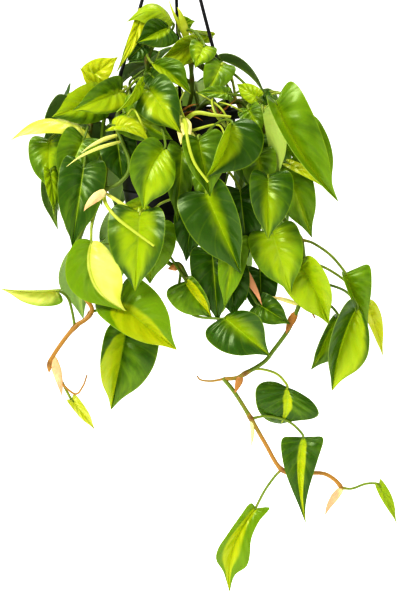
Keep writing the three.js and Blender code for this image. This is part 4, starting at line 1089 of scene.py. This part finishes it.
# %% Looks
LOOKS = {
    "pale_gold": (1.3, 1.3, 1.3, 1.3, 0.75, 0.8, 0.5, 0.3),
    "mid_centre": (0.5, 0.7, 0.5, 0.7, -0.2, 0.3, 0.6, 0.35),
    # the next look is painted shade: no flame and a green darker than the leaf's own, for leaves that lie in
    # the shadow of others
    "shade": (-0.1, -0.1, -0.1, -0.1, 0.0, -0.3, 0.3, 0.25),
    "dark": (-0.1, 0.0, -0.1, 0.0, 0.0, 0.12, 0.3, 0.25),
    "deep": (-0.1, 0.15, -0.1, 0.15, 0.0, 0.35, 0.6, 0.35),
    "deep_edge": (-0.3, -0.1, 0.12, 0.5, 0.0, 0.15, 0.2, 0.15),
    "fresh": (0.0, 0.2, 0.0, 0.2, 0.0, 0.65, 0.6, 0.35),
    "bright": (0.1, 0.35, 0.1, 0.35, 0.0, 1.0, 0.6, 0.4),
    "bright_left": (0.1, 0.5, 0.05, 0.1, 0.0, 0.7, 0.4, 0.3),
    "centre": (0.35, 0.5, 0.35, 0.5, 0.1, 0.45, 0.6, 0.2),
    "centre_tip": (0.1, 1.0, -0.1, 0.5, 0.0, 0.15, 0.6, 0.3),
    "fresh_centre": (0.5, 0.7, 0.5, 0.7, 0.0, 0.65, 0.6, 0.35),
    "fresh_right": (0.0, 0.05, 0.2, 0.4, -0.2, 0.05, 0.5, 0.6),
    "fading": (0.2, 1.3, 0.2, 1.3, 0.9, 1.0, 0.5, 0.4),
    "flare": (-0.4, 0.7, -0.4, 0.7, -0.2, 0.1, 0.5, 0.5),
    "streak": (0.15, 0.35, 0.15, 0.35, 0.0, 0.45, 0.9, 0.3),
    "rib": (0.02, 0.22, 0.02, 0.22, 0.2, 0.3, 0.12, 0.05),
    "rib_right": (0.0, 0.3, 0.05, 0.5, 0.2, 0.12, 0.12, 0.08),
    "rib_tip": (0.06, 0.8, 0.06, 0.5, 0.4, 0.9, 0.2, 0.15),
    "lime": (1.3, 1.3, 1.3, 1.3, 0.0, 0.6, 0.5, 0.4),
    "lime_rib": (0.2, 0.8, 0.2, 0.8, 0.0, 0.35, 0.4, 0.2),
    "lime_left": (1.2, 1.2, 0.0, 0.1, 0.05, 0.3, 0.2, 0.15),
    "lime_half": (1.2, 1.2, 0.5, 0.5, 0.0, 0.5, 0.5, 0.4),
    "lime_right": (0.1, 0.3, 0.8, 0.9, 0.1, 0.45, 0.35, 0.15),
    "lime_tip": (0.0, 0.1, 0.5, 1.1, 0.1, 0.3, 0.4, 0.2),
    "lime_base": (0.0, 0.1, 0.4, 0.1, -0.2, 0.1, 0.5, 0.4),
    "lime_soft": (0.1, 0.3, 0.7, 0.8, -0.2, 0.45, 0.4, 0.35),
    "lime_sweep": (1.0, 1.1, 0.0, 0.5, 0.0, 0.1, 0.4, 0.2),
    "gold": (1.3, 1.3, 1.3, 1.3, 0.5, 0.6, 0.5, 0.3),
    "gold_top": (1.6, 0.6, 1.6, 0.6, 0.5, 0.6, 0.25, 0.15),
    "gold_streak": (0.9, 1.1, 0.9, 1.1, 0.35, 0.5, 0.9, 0.4),
    "gold_left": (-0.3, 1.8, -0.1, 0.0, 0.4, 0.5, 0.25, 0.08),
    "gold_right": (-0.1, 0.0, 0.35, 0.9, 0.5, 0.35, 0.25, 0.08),
    "gold_tip_left": (-0.4, 2.0, 0.0, 0.4, 0.35, 1.0, 0.25, 0.1),
    "cream": (1.3, 1.3, 1.3, 1.3, 0.9, 0.8, 0.5, 0.3),
    "cream_right": (-0.1, 0.2, 1.3, 1.3, 0.95, 1.0, 0.3, 0.08),
    "pale": (1.3, 1.3, 1.3, 1.3, 0.35, 0.8, 0.5, 0.4),
    "pale_centre": (0.6, 0.7, 0.6, 0.7, -0.2, 0.5, 0.6, 0.4),
}
BACK_LOOKS = ["dark", "centre", "streak", "fresh", "lime_left", "rib", "fresh_centre", "lime_rib"]
print(len(LOOKS), "looks")

# %% [markdown]
# ## Every leaf as one record
# A front leaf comes from its row, and faces the camera before it is rolled. The leaves of
# the sides and back can't be seen, so a rule gives each stem there two that stand over
# the pot and a column that hangs outside it. A few seeded numbers vary each leaf.

# %% Leaf records
STANDING = 2
FRONT_LEAF_SEED = 500
BACK_LEAF_SEED = 900
LOOK_SEED = 60
LEAF_SPACING = 36
LEAF_LENGTHS = (66, 92)
STANDING_RADII = (16, 66)
HANGING_RADII = (104, 122)
SIDE_STEPS = (6, 15)
STANDING_REACH = 0.75
STANDING_FALLS = (18, 50)
HANGING_REACHES = (4, 26)
STANDING_TILT = 1.3
HANGING_TILT = 0.35
# how the leaves out of sight may differ, in the order in which they are drawn
BACK_RANGES = {"bow": (0.03, 0.12), "sway": (-0.05, 0.05), "twist": (-14, 14), "wave": (0.01, 0.035),
               "phase": (0, 6.28)}


def front_leaf(number, vine, joint, tip, width, roll, fold_left, fold_right, bow, sway, look, *outlines):
    draw = draws(FRONT_LEAF_SEED + number)
    start, lift = None, USUAL_LIFT
    for place, known, rise in KNOWN_STARTS:
        if place == joint[:2]:
            start, lift = seen([*known, joint[2]]), rise
    at = seen(joint)
    return {"vine": vine, "joint": at, "tip": seen(tip), "outward": (EYE - at).normalized(), "start": start,
            "lift": lift, "width": width, "roll": roll, "folds": (fold_left, fold_right), "bow": bow,
            "sway": sway, "look": look, "outlines": outlines or ("heart", "heart"),
            "twist": draw(-12, 12), "wave": draw(0.01, 0.035), "phase": draw(0, 6.28)}


def back_leaves(vine, number):
    """Leaves of the sides and back: some stand over the pot, the rest hang outside it."""
    draw = draws(BACK_LEAF_SEED + number)
    pick = draws(LOOK_SEED + number)
    leaves = []
    hanging = 1 + int(vine["drop"] / LEAF_SPACING + 0.5)
    for i in range(hanging + STANDING):
        standing = i < STANDING
        side = vine["azimuth"] + (1 if i % 2 else -1) * draw(*SIDE_STEPS)
        radius = draw(*STANDING_RADII) if standing else draw(*HANGING_RADII) + 12 * math.sin(i)
        level = (vine["drop"] + 40) * ((i - STANDING) / hanging)
        height = RIM_HEIGHT + (72 - 0.9 * radius + draw(-10, 10) if standing else 12 - level)
        length = draw(*LEAF_LENGTHS)
        reach = length * STANDING_REACH if standing else draw(*HANGING_REACHES)
        fall = draw(*STANDING_FALLS) if standing else math.sqrt(length ** 2 - reach ** 2)
        joint = polar(side, radius, height)
        tip = polar(side + draw(-9, 9), radius + reach, height - fall)
        outward = polar(side, 1, STANDING_TILT if standing else HANGING_TILT).normalized()
        leaf = {"vine": vine["name"], "joint": joint, "tip": tip, "outward": outward, "start": None,
                "lift": USUAL_LIFT, "outlines": ("heart", "heart")}
        leaf["width"] = draw(0.66, 0.84)
        leaf["roll"] = draw(-16, 16)
        leaf["folds"] = (draw(0, 24), draw(0, 24))
        for name, limits in BACK_RANGES.items():
            leaf[name] = draw(*limits)
        leaf["look"] = BACK_LOOKS[int(pick(0, len(BACK_LOOKS)))]
        leaves.append(leaf)
    return leaves


leaves = []
for stem, rows in FRONT_LEAVES:
    for row in rows:
        leaves.append(front_leaf(len(leaves), stem, *row))
for number, vine in enumerate(vine for vine in vines if vine["drop"]):
    leaves += back_leaves(vine, number)
print(len(leaves), "leaves to place")

# %% [markdown]
# ## The form of a blade
# One formula gives any point of a blade from two numbers: the share of the way from joint
# to tip, and the side from -1 at the left margin to 1 at the right. Tables of nine values
# draw the outline of each half, and folds, bow, sway and twist bend it. The halves are
# domed between the midrib and the margin, and the side veins lie in shallow grooves.

# %% Blade formula
MIDRIB = [0, 0.015, 0.05, 0.11, 0.2, 0.32, 0.48, 0.7, 1]
OUTLINES = {
    # how far along and how far across the margin lies
    "heart": ([0, -0.07, -0.09, 0, 0.18, 0.4, 0.63, 0.83, 1], [0, 0.38, 0.74, 0.95, 1, 0.93, 0.68, 0.25, 0]),
    "round": ([0, -0.14, -0.2, -0.08, 0.14, 0.38, 0.62, 0.83, 1],
              [0, 0.3, 0.68, 0.96, 1, 0.92, 0.68, 0.26, 0]),
    "sloped": ([0, 0.03, 0.1, 0.2, 0.34, 0.5, 0.66, 0.83, 1], [0, 0.25, 0.5, 0.74, 0.93, 1, 0.8, 0.32, 0]),
    "square": ([0, -0.01, -0.01, 0.05, 0.2, 0.38, 0.57, 0.78, 1],
               [0, 0.5, 0.9, 1, 0.88, 0.68, 0.42, 0.16, 0]),
    "oval": ([0, -0.08, -0.04, 0.12, 0.38, 0.64, 0.86, 0.98, 1],
             [0, 0.35, 0.75, 0.98, 1, 0.88, 0.62, 0.3, 0]),
    "waisted": ([0, -0.05, -0.02, 0.12, 0.32, 0.5, 0.64, 0.78, 1],
                [0, 0.5, 0.66, 0.62, 0.74, 1, 0.95, 0.35, 0]),
}
DOME = 0.05
QUILT = 0.6
GROOVE = 0.25
GROOVE_HALF = 0.05
RIPPLES = 9.4


def sign(number):
    return (number > 0) - (number < 0)


def table_value(table, share):
    """The value of an outline table at a share from 0 to 1, on a smooth curve through it."""
    last = len(table) - 1
    span = min(int(share * last), last - 1)
    t = share * last - span
    leaving = (table[span + 1] - table[max(span - 1, 0)]) / 2
    arriving = (table[min(span + 2, last)] - table[span]) / 2
    rise = table[span + 1] - table[span]
    return (table[span] + leaving * t + (3 * rise - 2 * leaving - arriving) * t ** 2
            + (leaving + arriving - 2 * rise) * t ** 3)


def leaf_frame(leaf):
    """The axis from joint to tip, the length, the way the face looks, and the way across."""
    axis = leaf["tip"] - leaf["joint"]
    length = axis.length
    axis.normalize()
    face = (leaf["outward"] - axis * leaf["outward"].dot(axis)).normalized()
    roll = math.radians(leaf["roll"])
    face = face * math.cos(roll) + face.cross(axis) * math.sin(roll)
    return axis, length, face, face.cross(axis)


def blade_point(leaf, share, side, fine=False):
    axis, length, face, across = leaf_frame(leaf)
    out = abs(side)
    margin_along, margin_across = OUTLINES[leaf["outlines"][side > 0]]
    along = blend(table_value(MIDRIB, share), table_value(margin_along, share), out)
    half = table_value(margin_across, share) * out * 0.5 * leaf["width"] * length
    fold = math.radians(leaf["folds"][side > 0])
    ripple = leaf["wave"] * length * out * out * math.sin(leaf["phase"] + RIPPLES * share + sign(side))
    flat = sign(side) * half * math.cos(fold)
    lift = half * math.sin(fold) + ripple * math.sin(math.pi * share)
    twist = math.radians(leaf["twist"]) * max(along, 0)
    arch = 4 * along * (1 - along) * length
    over = flat * math.cos(twist) - lift * math.sin(twist) + leaf["sway"] * arch
    up = flat * math.sin(twist) + lift * math.cos(twist) + leaf["bow"] * arch
    if fine:
        middle = math.sin(math.pi * share)
        vein = math.sin(2 * math.pi * VEINS * (share - VEIN_LEAN * out))
        between = 4 * out * (1 - out)
        up += middle * (DOME * length * leaf["width"] * between + QUILT * vein * between
                        - GROOVE * math.exp(-(out / GROOVE_HALF) ** 2))
    return leaf["joint"] + axis * (along * length) + across * over + face * up


first_length = (blade_point(leaves[0], 1, 0) - leaves[0]["joint"]).length
print("The first leaf is", round(first_length, 1), "mm long")

# %% [markdown]
# ## Where each leaf came to rest
# The solids were set one by one, and a leaf that would have cut through another was
# swung outwards by a few steps. So each leaf is tried at every step, and the one whose
# outline lies on the solid's corners is taken. The same is done for its stalk, a smooth
# curve that leaves the stem upwards and comes to the blade from behind. A leaf that the
# solids don't hold is left out.

# %% Steps that a leaf and its stalk may have taken
STEM_RADIUS = 2.3
STEM_STEP = 17
STARTS = (0.25, 0.5, 0.75, 1)
PETIOLE_RADIUS = 1.2
BEND_STEP = 3
BENDS = (0, 1, -1, 2, -2, 3, -3, 4, 5, 6, 7)
USUAL_PETIOLE = 42
STALK_SINK = 2.4
STALK_BULGES = (0, 10, -10, 20, -20, 32, -32)
STALK_SHIFTS = (0, -4, 4, -8, 8, -13, 13, -18, 18)
STALK_PLACES = (0, 0.3, 0.62, 0.94)
LEAVING = 0.22
ARRIVING = 0.3
BEHIND = 0.08
LEAST_TURN = 0.1
ROW_SETS = ((0.2, 0.42, 0.64, 0.84), (0.24, 0.52, 0.8))
ON_CORNER = 0.65
CLEAR_MATCH = 6
LEAST_MATCH = 5


def corner_tree(name):
    """The corners of a CAD node, in millimetres, ready for a search by place."""
    back = TO_FRAME.inverted()
    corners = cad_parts[name].data.vertices
    tree = kdtree.KDTree(len(corners))
    for i, corner in enumerate(corners):
        tree.insert(back @ corner.co, i)
    tree.balance()
    return tree


def grow_samples(vine):
    """Places on a stem where a stalk can start."""
    vine["samples"] = []
    for points in vine["runs"]:
        length = sum((after - before).length for before, after in zip(points, points[1:]))
        rings = Route(points).spaced(int(length / STEM_STEP + 0.5))
        for before, after in zip(rings, rings[1:]):
            vine["samples"] += [before.lerp(after, share) for share in STARTS]
    vine["samples"] = [point for point in vine["samples"]
                       if point.z > SOIL_TOP + 8 or math.hypot(point.x, point.y) > RIM_RADIUS]


def swung(leaf, bend):
    offset = leaf["outward"] * (bend * BEND_STEP)
    return {**leaf, "joint": leaf["joint"] + offset, "tip": leaf["tip"] + offset}


print("A leaf may be swung by", min(BENDS) * BEND_STEP, "to", max(BENDS) * BEND_STEP, "mm")


# %% Find a blade and its stalk
def find_blade(leaf, vines):
    """The vine, the swung leaf and its rows that lie on a solid's corners."""
    owners = sorted(vines, key=lambda vine: vine["name"] != leaf["vine"])
    for vine in owners:
        for bend in BENDS:
            moved = swung(leaf, bend)
            if vine["corners"].find(moved["tip"])[2] > ON_CORNER:
                continue
            for rows in ROW_SETS:
                places = [blade_point(moved, row, side) for row in rows for side in (-1, 0, 1)]
                gaps = sorted(vine["corners"].find(place)[2] for place in places)
                if gaps[len(gaps) * 2 // 3] < ON_CORNER:
                    return vine, {**moved, "rows": rows}
    return None, None


def start_on_stem(leaf, samples, shift):
    wanted = 0 if leaf["start"] else USUAL_PETIOLE
    target = leaf["start"] or leaf["joint"]
    gaps = [abs((point - target).length - wanted) for point in samples]
    return samples[min(max(gaps.index(min(gaps)) + shift, 0), len(samples) - 1)]


def stalk_route(leaf, start, bulge):
    """Up and out from the stem, then over and down into the blade."""
    axis, length, face, across = leaf_frame(leaf)
    gone = (leaf["joint"] - start).length
    onward = (leaf["joint"] - start).normalized()
    arriving = (axis + onward * (LEAST_TURN - min(axis.dot(onward), 0))).normalized()
    first = start.lerp(leaf["joint"], LEAVING) + Vector((0, 0, leaf["lift"] * gone)) + across * bulge
    second = leaf["joint"] - arriving * (ARRIVING * gone) - face * (BEHIND * gone) + across * bulge
    points = []
    for t in STALK_PLACES:
        points.append(start * (1 - t) ** 3 + first * (3 * t * (1 - t) ** 2)
                      + second * (3 * t * t * (1 - t)) + leaf["joint"] * t ** 3)
    inside = blade_point(leaf, leaf["rows"][0], 0) - leaf["joint"]
    points.append(leaf["joint"] + inside.normalized() * STALK_SINK)
    return points


def find_stalk(leaf, vine):
    """The stalk's route whose rings lie on the solid's corners."""
    best = (0, None, None)
    for shift in STALK_SHIFTS:
        start = start_on_stem(leaf, vine["samples"], shift)
        for bulge in STALK_BULGES:
            points = stalk_route(leaf, start, bulge)
            rings = Route(points).spaced(3)
            near = [gap for ring in rings[1:3]
                    for _, _, gap in vine["corners"].find_range(ring, PETIOLE_RADIUS + 0.1)]
            hits = sum(gap > PETIOLE_RADIUS - 0.1 for gap in near)
            if hits > best[0]:
                best = (hits, points, start)
            if hits >= CLEAR_MATCH:
                return best
    return best


print("A stalk is tried", len(STALK_SHIFTS) * len(STALK_BULGES), "ways")

# %% Match every leaf with the solids
for vine in vines:
    vine["corners"] = corner_tree(vine["name"])
    vine["leaves"] = []
    grow_samples(vine)
lost = []
for number, leaf in enumerate(leaves):
    vine, placed = find_blade(leaf, vines)
    if not placed:
        lost.append(number)
        continue
    hits, placed["stalk"], placed["from"] = find_stalk(placed, vine)
    placed["number"] = number
    placed["hits"] = hits
    if hits:
        vine["leaves"].append(placed)
    else:
        lost.append(number)
print("Leaves found:", {vine["name"]: len(vine["leaves"]) for vine in vines}, "not held:", lost)
held = [leaf for vine in vines for leaf in vine["leaves"]]
print("Loose stalks:", [(leaf["number"], leaf["hits"]) for leaf in held if leaf["hits"] < LEAST_MATCH])

# %% [markdown]
# ## Blades
# A blade starts as a flat grid. The formula moves each corner to its place, the two ends
# close to points, and `solidify` gives the sheet its thickness. The grid's own map of
# side and share stays on it, and drives the leaf finish.

# %% Make a blade
BLADE_THICKNESS = 0.5
FRONT_GRID = (30, 16)
BACK_GRID = (22, 12)
TINT_SPREAD = 0.1
FRESH_SPREAD = 0.15


def make_blade(mesh, leaf, draw):
    rows, columns = FRONT_GRID if leaf["number"] < FRONT_COUNT else BACK_GRID
    grid = bmesh.ops.create_grid(mesh, x_segments=columns, y_segments=rows, size=0.5, calc_uvs=True)
    made = grid["verts"]
    left_joint, left_tip, right_joint, right_tip, tint, fresh, brush, soft = LOOKS[leaf["look"]]
    seed = draw(0, 1)
    tint += draw(-TINT_SPREAD, TINT_SPREAD)
    fresh += draw(-FRESH_SPREAD, FRESH_SPREAD)
    paint(mesh, made, seed=seed, tint=tint, fresh=fresh, brush=brush, soft=soft)
    band = mesh.verts.layers.float["band"]
    for vert in made:
        side = 2 * vert.co.x
        share = vert.co.y + 0.5
        reach = blend(left_joint, left_tip, share) if side < 0 else blend(right_joint, right_tip, share)
        vert[band] = reach - abs(side)
        vert.co = blade_point(leaf, share, side, True)
    faces = list({face for vert in made for face in vert.link_faces})
    bmesh.ops.remove_doubles(mesh, verts=made, dist=WELD)
    faces = [face for face in faces if face.is_valid]
    bmesh.ops.reverse_faces(mesh, faces=faces)
    shell = bmesh.ops.solidify(mesh, geom=faces, thickness=BLADE_THICKNESS)["geom"]
    back = {vert for face in shell if isinstance(face, bmesh.types.BMFace) for vert in face.verts}
    paint(mesh, back, under=1)


print("Each front blade has", 4 * FRONT_GRID[0] * FRONT_GRID[1], "triangles and its rim")

# %% [markdown]
# ## Stems and stalks
# A stem is a tube that swells at each node, where a stalk leaves it, and carries a brown
# scar there. A stalk is thickest where it clasps the stem, and thins towards the blade.
# Warm colour grows towards the old end of a stem, and fades along a stalk.

# %% Make stems
# places of the three finishes in a vine's list
LEAF_SLOT, STEM_SLOT, SHEATH_SLOT = range(3)
RING_SPACING = 2.2
STEM_SIDES = 12
NODE_LENGTH = 5
NODE_REACH = 3
NODE_SWELLING = 0.3
NODE_WARMTH = 0.25
SCAR_START = 0.55
STEM_TINT = 0.15
WARM_STEMS = {
    "vine_left": [[(0.0, 0.2), (0.6, 0.25), (0.78, 0.9), (1.0, 1.0)]],
    "vine_trailing": [[(0.0, 0.1), (0.45, 0.15), (0.9, 0.2), (1.0, 0.7)],
                      [(0.0, 0.3), (0.3, 0.45), (0.45, 0.9), (1.0, 0.95)]],
}
USUAL_WARMTH = [(0.0, 0.1), (1.0, 0.2)]


def along_table(table, share):
    """A value on straight lines between (share, value) pairs."""
    for (start, low), (end, high) in zip(table, table[1:]):
        if share <= end:
            return blend(low, high, (share - start) / (end - start))
    return table[-1][1]


def make_stem(mesh, vine, draw):
    for run, points in enumerate(vine["runs"]):
        route = Route(points)
        steps = int(route.length / RING_SPACING)
        centres = route.spaced(steps)
        nodes = []
        for leaf in vine["leaves"]:
            gaps = [(centre - leaf["from"]).length for centre in centres]
            if min(gaps) < NODE_REACH:
                nodes.append(gaps.index(min(gaps)) / steps)

        def swelling(share):
            gaps = [(share - node) * route.length / NODE_LENGTH for node in nodes]
            return max([math.exp(-gap ** 2) for gap in gaps], default=0)

        def radius(share):
            end = min(1, math.sqrt(max(1 - share, 0)) * 6 + 0.3)
            return STEM_RADIUS * (0.95 + NODE_SWELLING * swelling(share)) * end

        warmth = WARM_STEMS.get(vine["name"], [USUAL_WARMTH] * 2)[run]
        seed = draw(0, 1)
        tube(mesh, points, radius, STEM_SIDES, steps, STEM_SLOT, {
            "seed": seed, "tint": STEM_TINT,
            "warm": lambda share: along_table(warmth, share) + NODE_WARMTH * swelling(share),
            "scar": lambda share: max(0, swelling(share) - SCAR_START) * 1.6})


print("Stems are", 2 * STEM_RADIUS, "mm thick and swell over", NODE_LENGTH, "mm at a node")


# %% Make stalks
STALK_MESH = (8, 26)
STALK_FOOT = 0.6
STALK_WARMTH = (0.0, 0.25)
STALK_TINT = (0.05, 0.55)


def make_stalk(mesh, leaf, draw):
    warm = draw(*STALK_WARMTH)
    tint = draw(*STALK_TINT)
    seed = draw(0, 1)

    def radius(share):
        return PETIOLE_RADIUS * (1.15 + STALK_FOOT * max(0, 1 - share * 6) ** 2)

    tube(mesh, leaf["stalk"], radius, *STALK_MESH, STEM_SLOT, {
        "seed": seed, "tint": tint, "warm": lambda share: warm + 0.4 * max(0, 1 - 5 * share)})


print("Stalks are", 2 * PETIOLE_RADIUS, "mm thick")

# %% [markdown]
# ## Sheaths, rolled leaves and roots
# Each new leaf comes out of a papery sheath, tightly rolled. Both are long pointed forms:
# a sheath is wide, flattened and dry, and a rolled leaf is slim, curved and fresh. Thin
# aerial roots and pale shoots grow from the nodes, along routes of their own.

# %% Sheaths, rolled leaves and roots
# By stem: place on it, far end, radius, dryness.
SHEATHS = {
    "vine_left": [
        [[117, 136, -84], [81, 153, -96], 2.4, 0.0],
        [[98, 197, -101], [83, 213, -106], 4, 0.6],
        [[104, 192, -103], [154, 246, -128], 2.2, -0.4],
        [[51, 358, -111], [62, 396, -114], 5, 0.45],
        [[117, 142, -88], [66, 167, -116], 2, 0.0],
    ],
    "vine_far_left": [
        [[88, 150, -52], [66, 167, -72], 2.6, 0.1],
    ],
    "vine_centre_left": [
        [[178, 263, -98], [168, 269, -102], 4, 0.9],
        [[185, 273, -100], [193, 291, -104], 2.6, 0.3],
    ],
    "vine_centre": [
        [[189, 132, -94], [208, 182, -136], 2.4, 0.0],
        [[187, 113, -92], [181, 145, -118], 4.6, 0.0],
        [[238, 262, -93], [262, 305, -108], 4.6, 0.55],
        [[191, 111, -92], [186, 147, -136], 6.4, 0.15],
        [[186, 110, -92], [187, 136, -126], 3.4, -0.3],
        [[186, 108, -84], [176, 101, -92], 1.1, 1.5],
        [[187, 106, -84], [198, 104, -94], 1.2, 1.3],
        [[187, 109, -88], [200, 112, -98], 1.0, 1.6],
        [[188, 112, -88], [203, 121, -100], 1.0, 1.5],
    ],
    "vine_trailing": [
        [[304, 306, -96], [264, 297, -104], 2.4, 0.2],
        [[296, 312, -98], [286, 334, -103], 4.4, 1.1],
        [[241, 376, -102], [235, 393, -110], 4, 0.95],
        [[251, 420, -106], [251, 447, -110], 2.2, 0.2],
        [[341, 489, -95], [325, 515, -98], 4.4, 0.5],
        [[222, 112, -84], [212, 104, -92], 1.1, 1.5],
        [[222, 108, -80], [206, 110, -92], 1.0, 1.2],
        [[226, 108, -80], [236, 100, -90], 1.1, 1.4],
    ],
    "vine_crown_right": [
        [[186, 38, -8], [169, 0, -14], 2.2, -0.9],
        [[187, 40, -9], [177, 7, -16], 4.4, -0.9],
    ],
    "vine_right": [
        [[258, 108, -40], [248, 99, -60], 1.2, 1.2],
        [[258, 108, -40], [266, 99, -60], 1.2, 1.5],
        [[267, 132, -56], [263, 142, -70], 1.6, 1.1],
    ],
}
# Sheaths that lie on a blade, and start there.
LYING_SHEATHS = {
    "vine_left": [
        [[105, 191, -121], [84, 211, -134], 5, 0.35],
    ],
}
# By stem: radius, how lime and how warm its colour is, route.
ROOTS = {
    "vine_left": [
        [1.3, 0.2, 0.8,
         [[52, 366, -112], [60, 381, -113], [75, 394, -114], [83, 386, -113], [87, 375, -112]]],
        [2.0, 1.4, -0.5,
         [[104, 194, -103], [106, 204, -122], [117, 218, -134], [135, 232, -140], [154, 246, -146]]],
    ],
    "vine_trailing": [
        [1.3, 0.2, 0.7, [[225, 379, -102], [212, 381, -103], [201, 380, -104], [197, 376, -104]]],
        [1.3, 0.2, 0.9, [[301, 303, -96], [309, 308, -100], [315, 318, -103]]],
        [0.9, 0.2, 0.9, [[304, 262, -92], [310, 263, -99], [316, 274, -103], [323, 278, -105]]],
        [1.3, 0.9, 0.0, [[228, 126, -84], [217, 117, -96], [212, 104, -92], [214, 92, -80]]],
        [1.2, 0.7, 0.1, [[230, 130, -84], [226, 116, -96], [216, 104, -90], [196, 92, -70]]],
    ],
    "vine_centre": [
        [2.4, 1.4, -0.4, [[186, 117, -90], [196, 113, -96], [213, 115, -99], [231, 117, -98]]],
        [2.2, 1.4, -0.5,
         [[190, 112, -92], [186, 124, -122], [187, 138, -146], [194, 162, -152], [208, 182, -148]]],
        [1.5, 1.2, -0.3, [[212, 115, -99], [218, 125, -108], [226, 140, -126]]],
        [1.2, 0.8, 0.0, [[192, 132, -92], [186, 122, -100], [180, 104, -92], [184, 92, -80]]],
    ],
    "vine_right": [
        [1.3, 0.9, 0.0, [[262, 126, -50], [246, 114, -84], [232, 106, -92], [219, 102, -84]]],
    ],
    "vine_centre_left": [
        [1.3, 0.8, 0.0, [[150, 138, -92], [141, 122, -112], [133, 109, -106], [126, 118, -96]]],
    ],
}
counts = [sum(map(len, table.values())) for table in (SHEATHS, LYING_SHEATHS, ROOTS)]
print(counts[0] + counts[1], "sheaths and rolled leaves,", counts[2], "roots and shoots")

# %% Make sheaths and roots
# how thick a sheath is along its way
SHEATH_FORM = [(0.0, 0.5), (0.12, 0.85), (0.35, 1.0), (0.6, 0.75), (0.85, 0.35), (1.0, 0.04)]
SHEATH_MESH = (14, 30)
ROOT_MESH = (8, 30)
WIDE_SHEATH = 3
WIDE_FLATNESS = 0.4
SLIM_FLATNESS = 0.8


def on_stem(vine, place):
    return min(vine["samples"], key=lambda point: (point - place).length)


def make_sheath(mesh, first, end, radius, dryness, draw):
    last = seen(end)
    sag = Vector((draw(-1, 1), draw(-1, 0), draw(0.5, 1.5))) * ((last - first).length * 0.05)
    seed = draw(0, 1)
    flat = WIDE_FLATNESS if radius > WIDE_SHEATH else SLIM_FLATNESS
    tube(mesh, [first, first.lerp(last, 0.4) + sag, first.lerp(last, 0.75) + sag, last],
         lambda share: radius * along_table(SHEATH_FORM, share), *SHEATH_MESH, SHEATH_SLOT,
         {"seed": seed, "warm": lambda share: dryness + 0.25 * share}, flat, FORWARD)


def make_root(mesh, vine, radius, tint, warm, route, draw):
    points = [seen(place) for place in route]
    points[0] = on_stem(vine, points[0])
    seed = draw(0, 1)
    tube(mesh, points, lambda share: radius * (1.1 - 0.5 * share), *ROOT_MESH, STEM_SLOT, {
        "seed": seed, "tint": tint, "warm": warm,
        "scar": lambda share: warm * max(0, share - 0.8) * 3})


print("A sheath wider than", 2 * WIDE_SHEATH, "mm is pressed flat")

# %% [markdown]
# ## The vines
# Each stem with all that grows on it is one piece, as one solid stands for it.

# %% Make the vines
VINE_SEED = 7000

for number, vine in enumerate(vines):
    vine_mesh = new_mesh()
    draw = draws(VINE_SEED + number)
    for leaf in vine["leaves"]:
        make_blade(vine_mesh, leaf, draw)
        make_stalk(vine_mesh, leaf, draw)
    make_stem(vine_mesh, vine, draw)
    for place, *form in SHEATHS.get(vine["name"], []):
        make_sheath(vine_mesh, on_stem(vine, seen(place)), *form, draw)
    for row in ROOTS.get(vine["name"], []):
        make_root(vine_mesh, vine, *row, draw)
    for place, *form in LYING_SHEATHS.get(vine["name"], []):
        make_sheath(vine_mesh, seen(place), *form, draw)
    finished(vine_mesh, vine["name"] + "_grown", [leaf_material, stem_material, sheath_material],
             [vine["name"]])

# %% [markdown]
# ## Floor and light
# The plant hangs over a plain pale floor, in a white room. One large soft light stands
# high on the left, a weaker one on the right, and a wide one above. The room lights the
# plant less than it shows, so that shadows between leaves stay deep, and the floor glows
# a little, so that it stays as white as the room.

# %% Floor
FLOOR_DROP = 0.25
FLOOR_RADIUS = 60
FLOOR_TONE = 0.95
FLOOR_GLOW = 0.5
WHITE = (1, 1, 1, 1)


def make_floor():
    mesh = bmesh.new()
    bmesh.ops.create_circle(mesh, cap_ends=True, segments=96, radius=FLOOR_RADIUS)
    bmesh.ops.translate(mesh, vec=(0, 0, cad_box[0].z - FLOOR_DROP), verts=mesh.verts)
    data = mesh_data(mesh, "floor")
    tone = (FLOOR_TONE, FLOOR_TONE, FLOOR_TONE, 1)
    pale = Finish("pale_floor", {"Roughness": 0.9, "Base Color": tone,
                                 "Emission Color": WHITE, "Emission Strength": FLOOR_GLOW})
    data.materials.append(pale.material)
    floor = add_object("floor", data)


make_floor()
print("The floor lies", FLOOR_DROP, "m below the plant")

# %% Light
ROOM_LIGHT = 0.5
LIT_PLACE = Vector((0, 0, -0.35))
# each lamp's place, size and power
LAMPS = {
    "key": ((-1.3, -1.5, 1.2), 0.9, 47),
    "fill": ((1.6, -1.2, 0.2), 1.2, 6),
    "top": ((0.2, 0.4, 1.7), 1.0, 24),
}


def soft_light(name, place, size, power):
    lamp = bpy.data.lights.new(name, "AREA")
    lamp.size = size
    lamp.energy = power
    holder = add_object(name, lamp)
    holder.location = place
    holder.rotation_euler = (LIT_PLACE - Vector(place)).to_track_quat("-Z", "Y").to_euler()


for name, row in LAMPS.items():
    soft_light(name, *row)
world = bpy.data.worlds.new("white_room")
world.use_nodes = True
backdrop = world.node_tree.nodes["Background"]
direct = world.node_tree.nodes.new("ShaderNodeLightPath")
strength = world.node_tree.nodes.new("ShaderNodeMapRange")
strength.inputs["To Min"].default_value = ROOM_LIGHT
world.node_tree.links.new(direct.outputs["Is Camera Ray"], strength.inputs["Value"])
world.node_tree.links.new(strength.outputs["Result"], backdrop.inputs["Strength"])
backdrop.inputs["Color"].default_value = WHITE
bpy.context.scene.world = world
bpy.context.scene.view_settings.view_transform = "Standard"
bpy.context.scene.view_settings.look = "High Contrast"
print("Lights:", [light.name for light in bpy.data.lights])
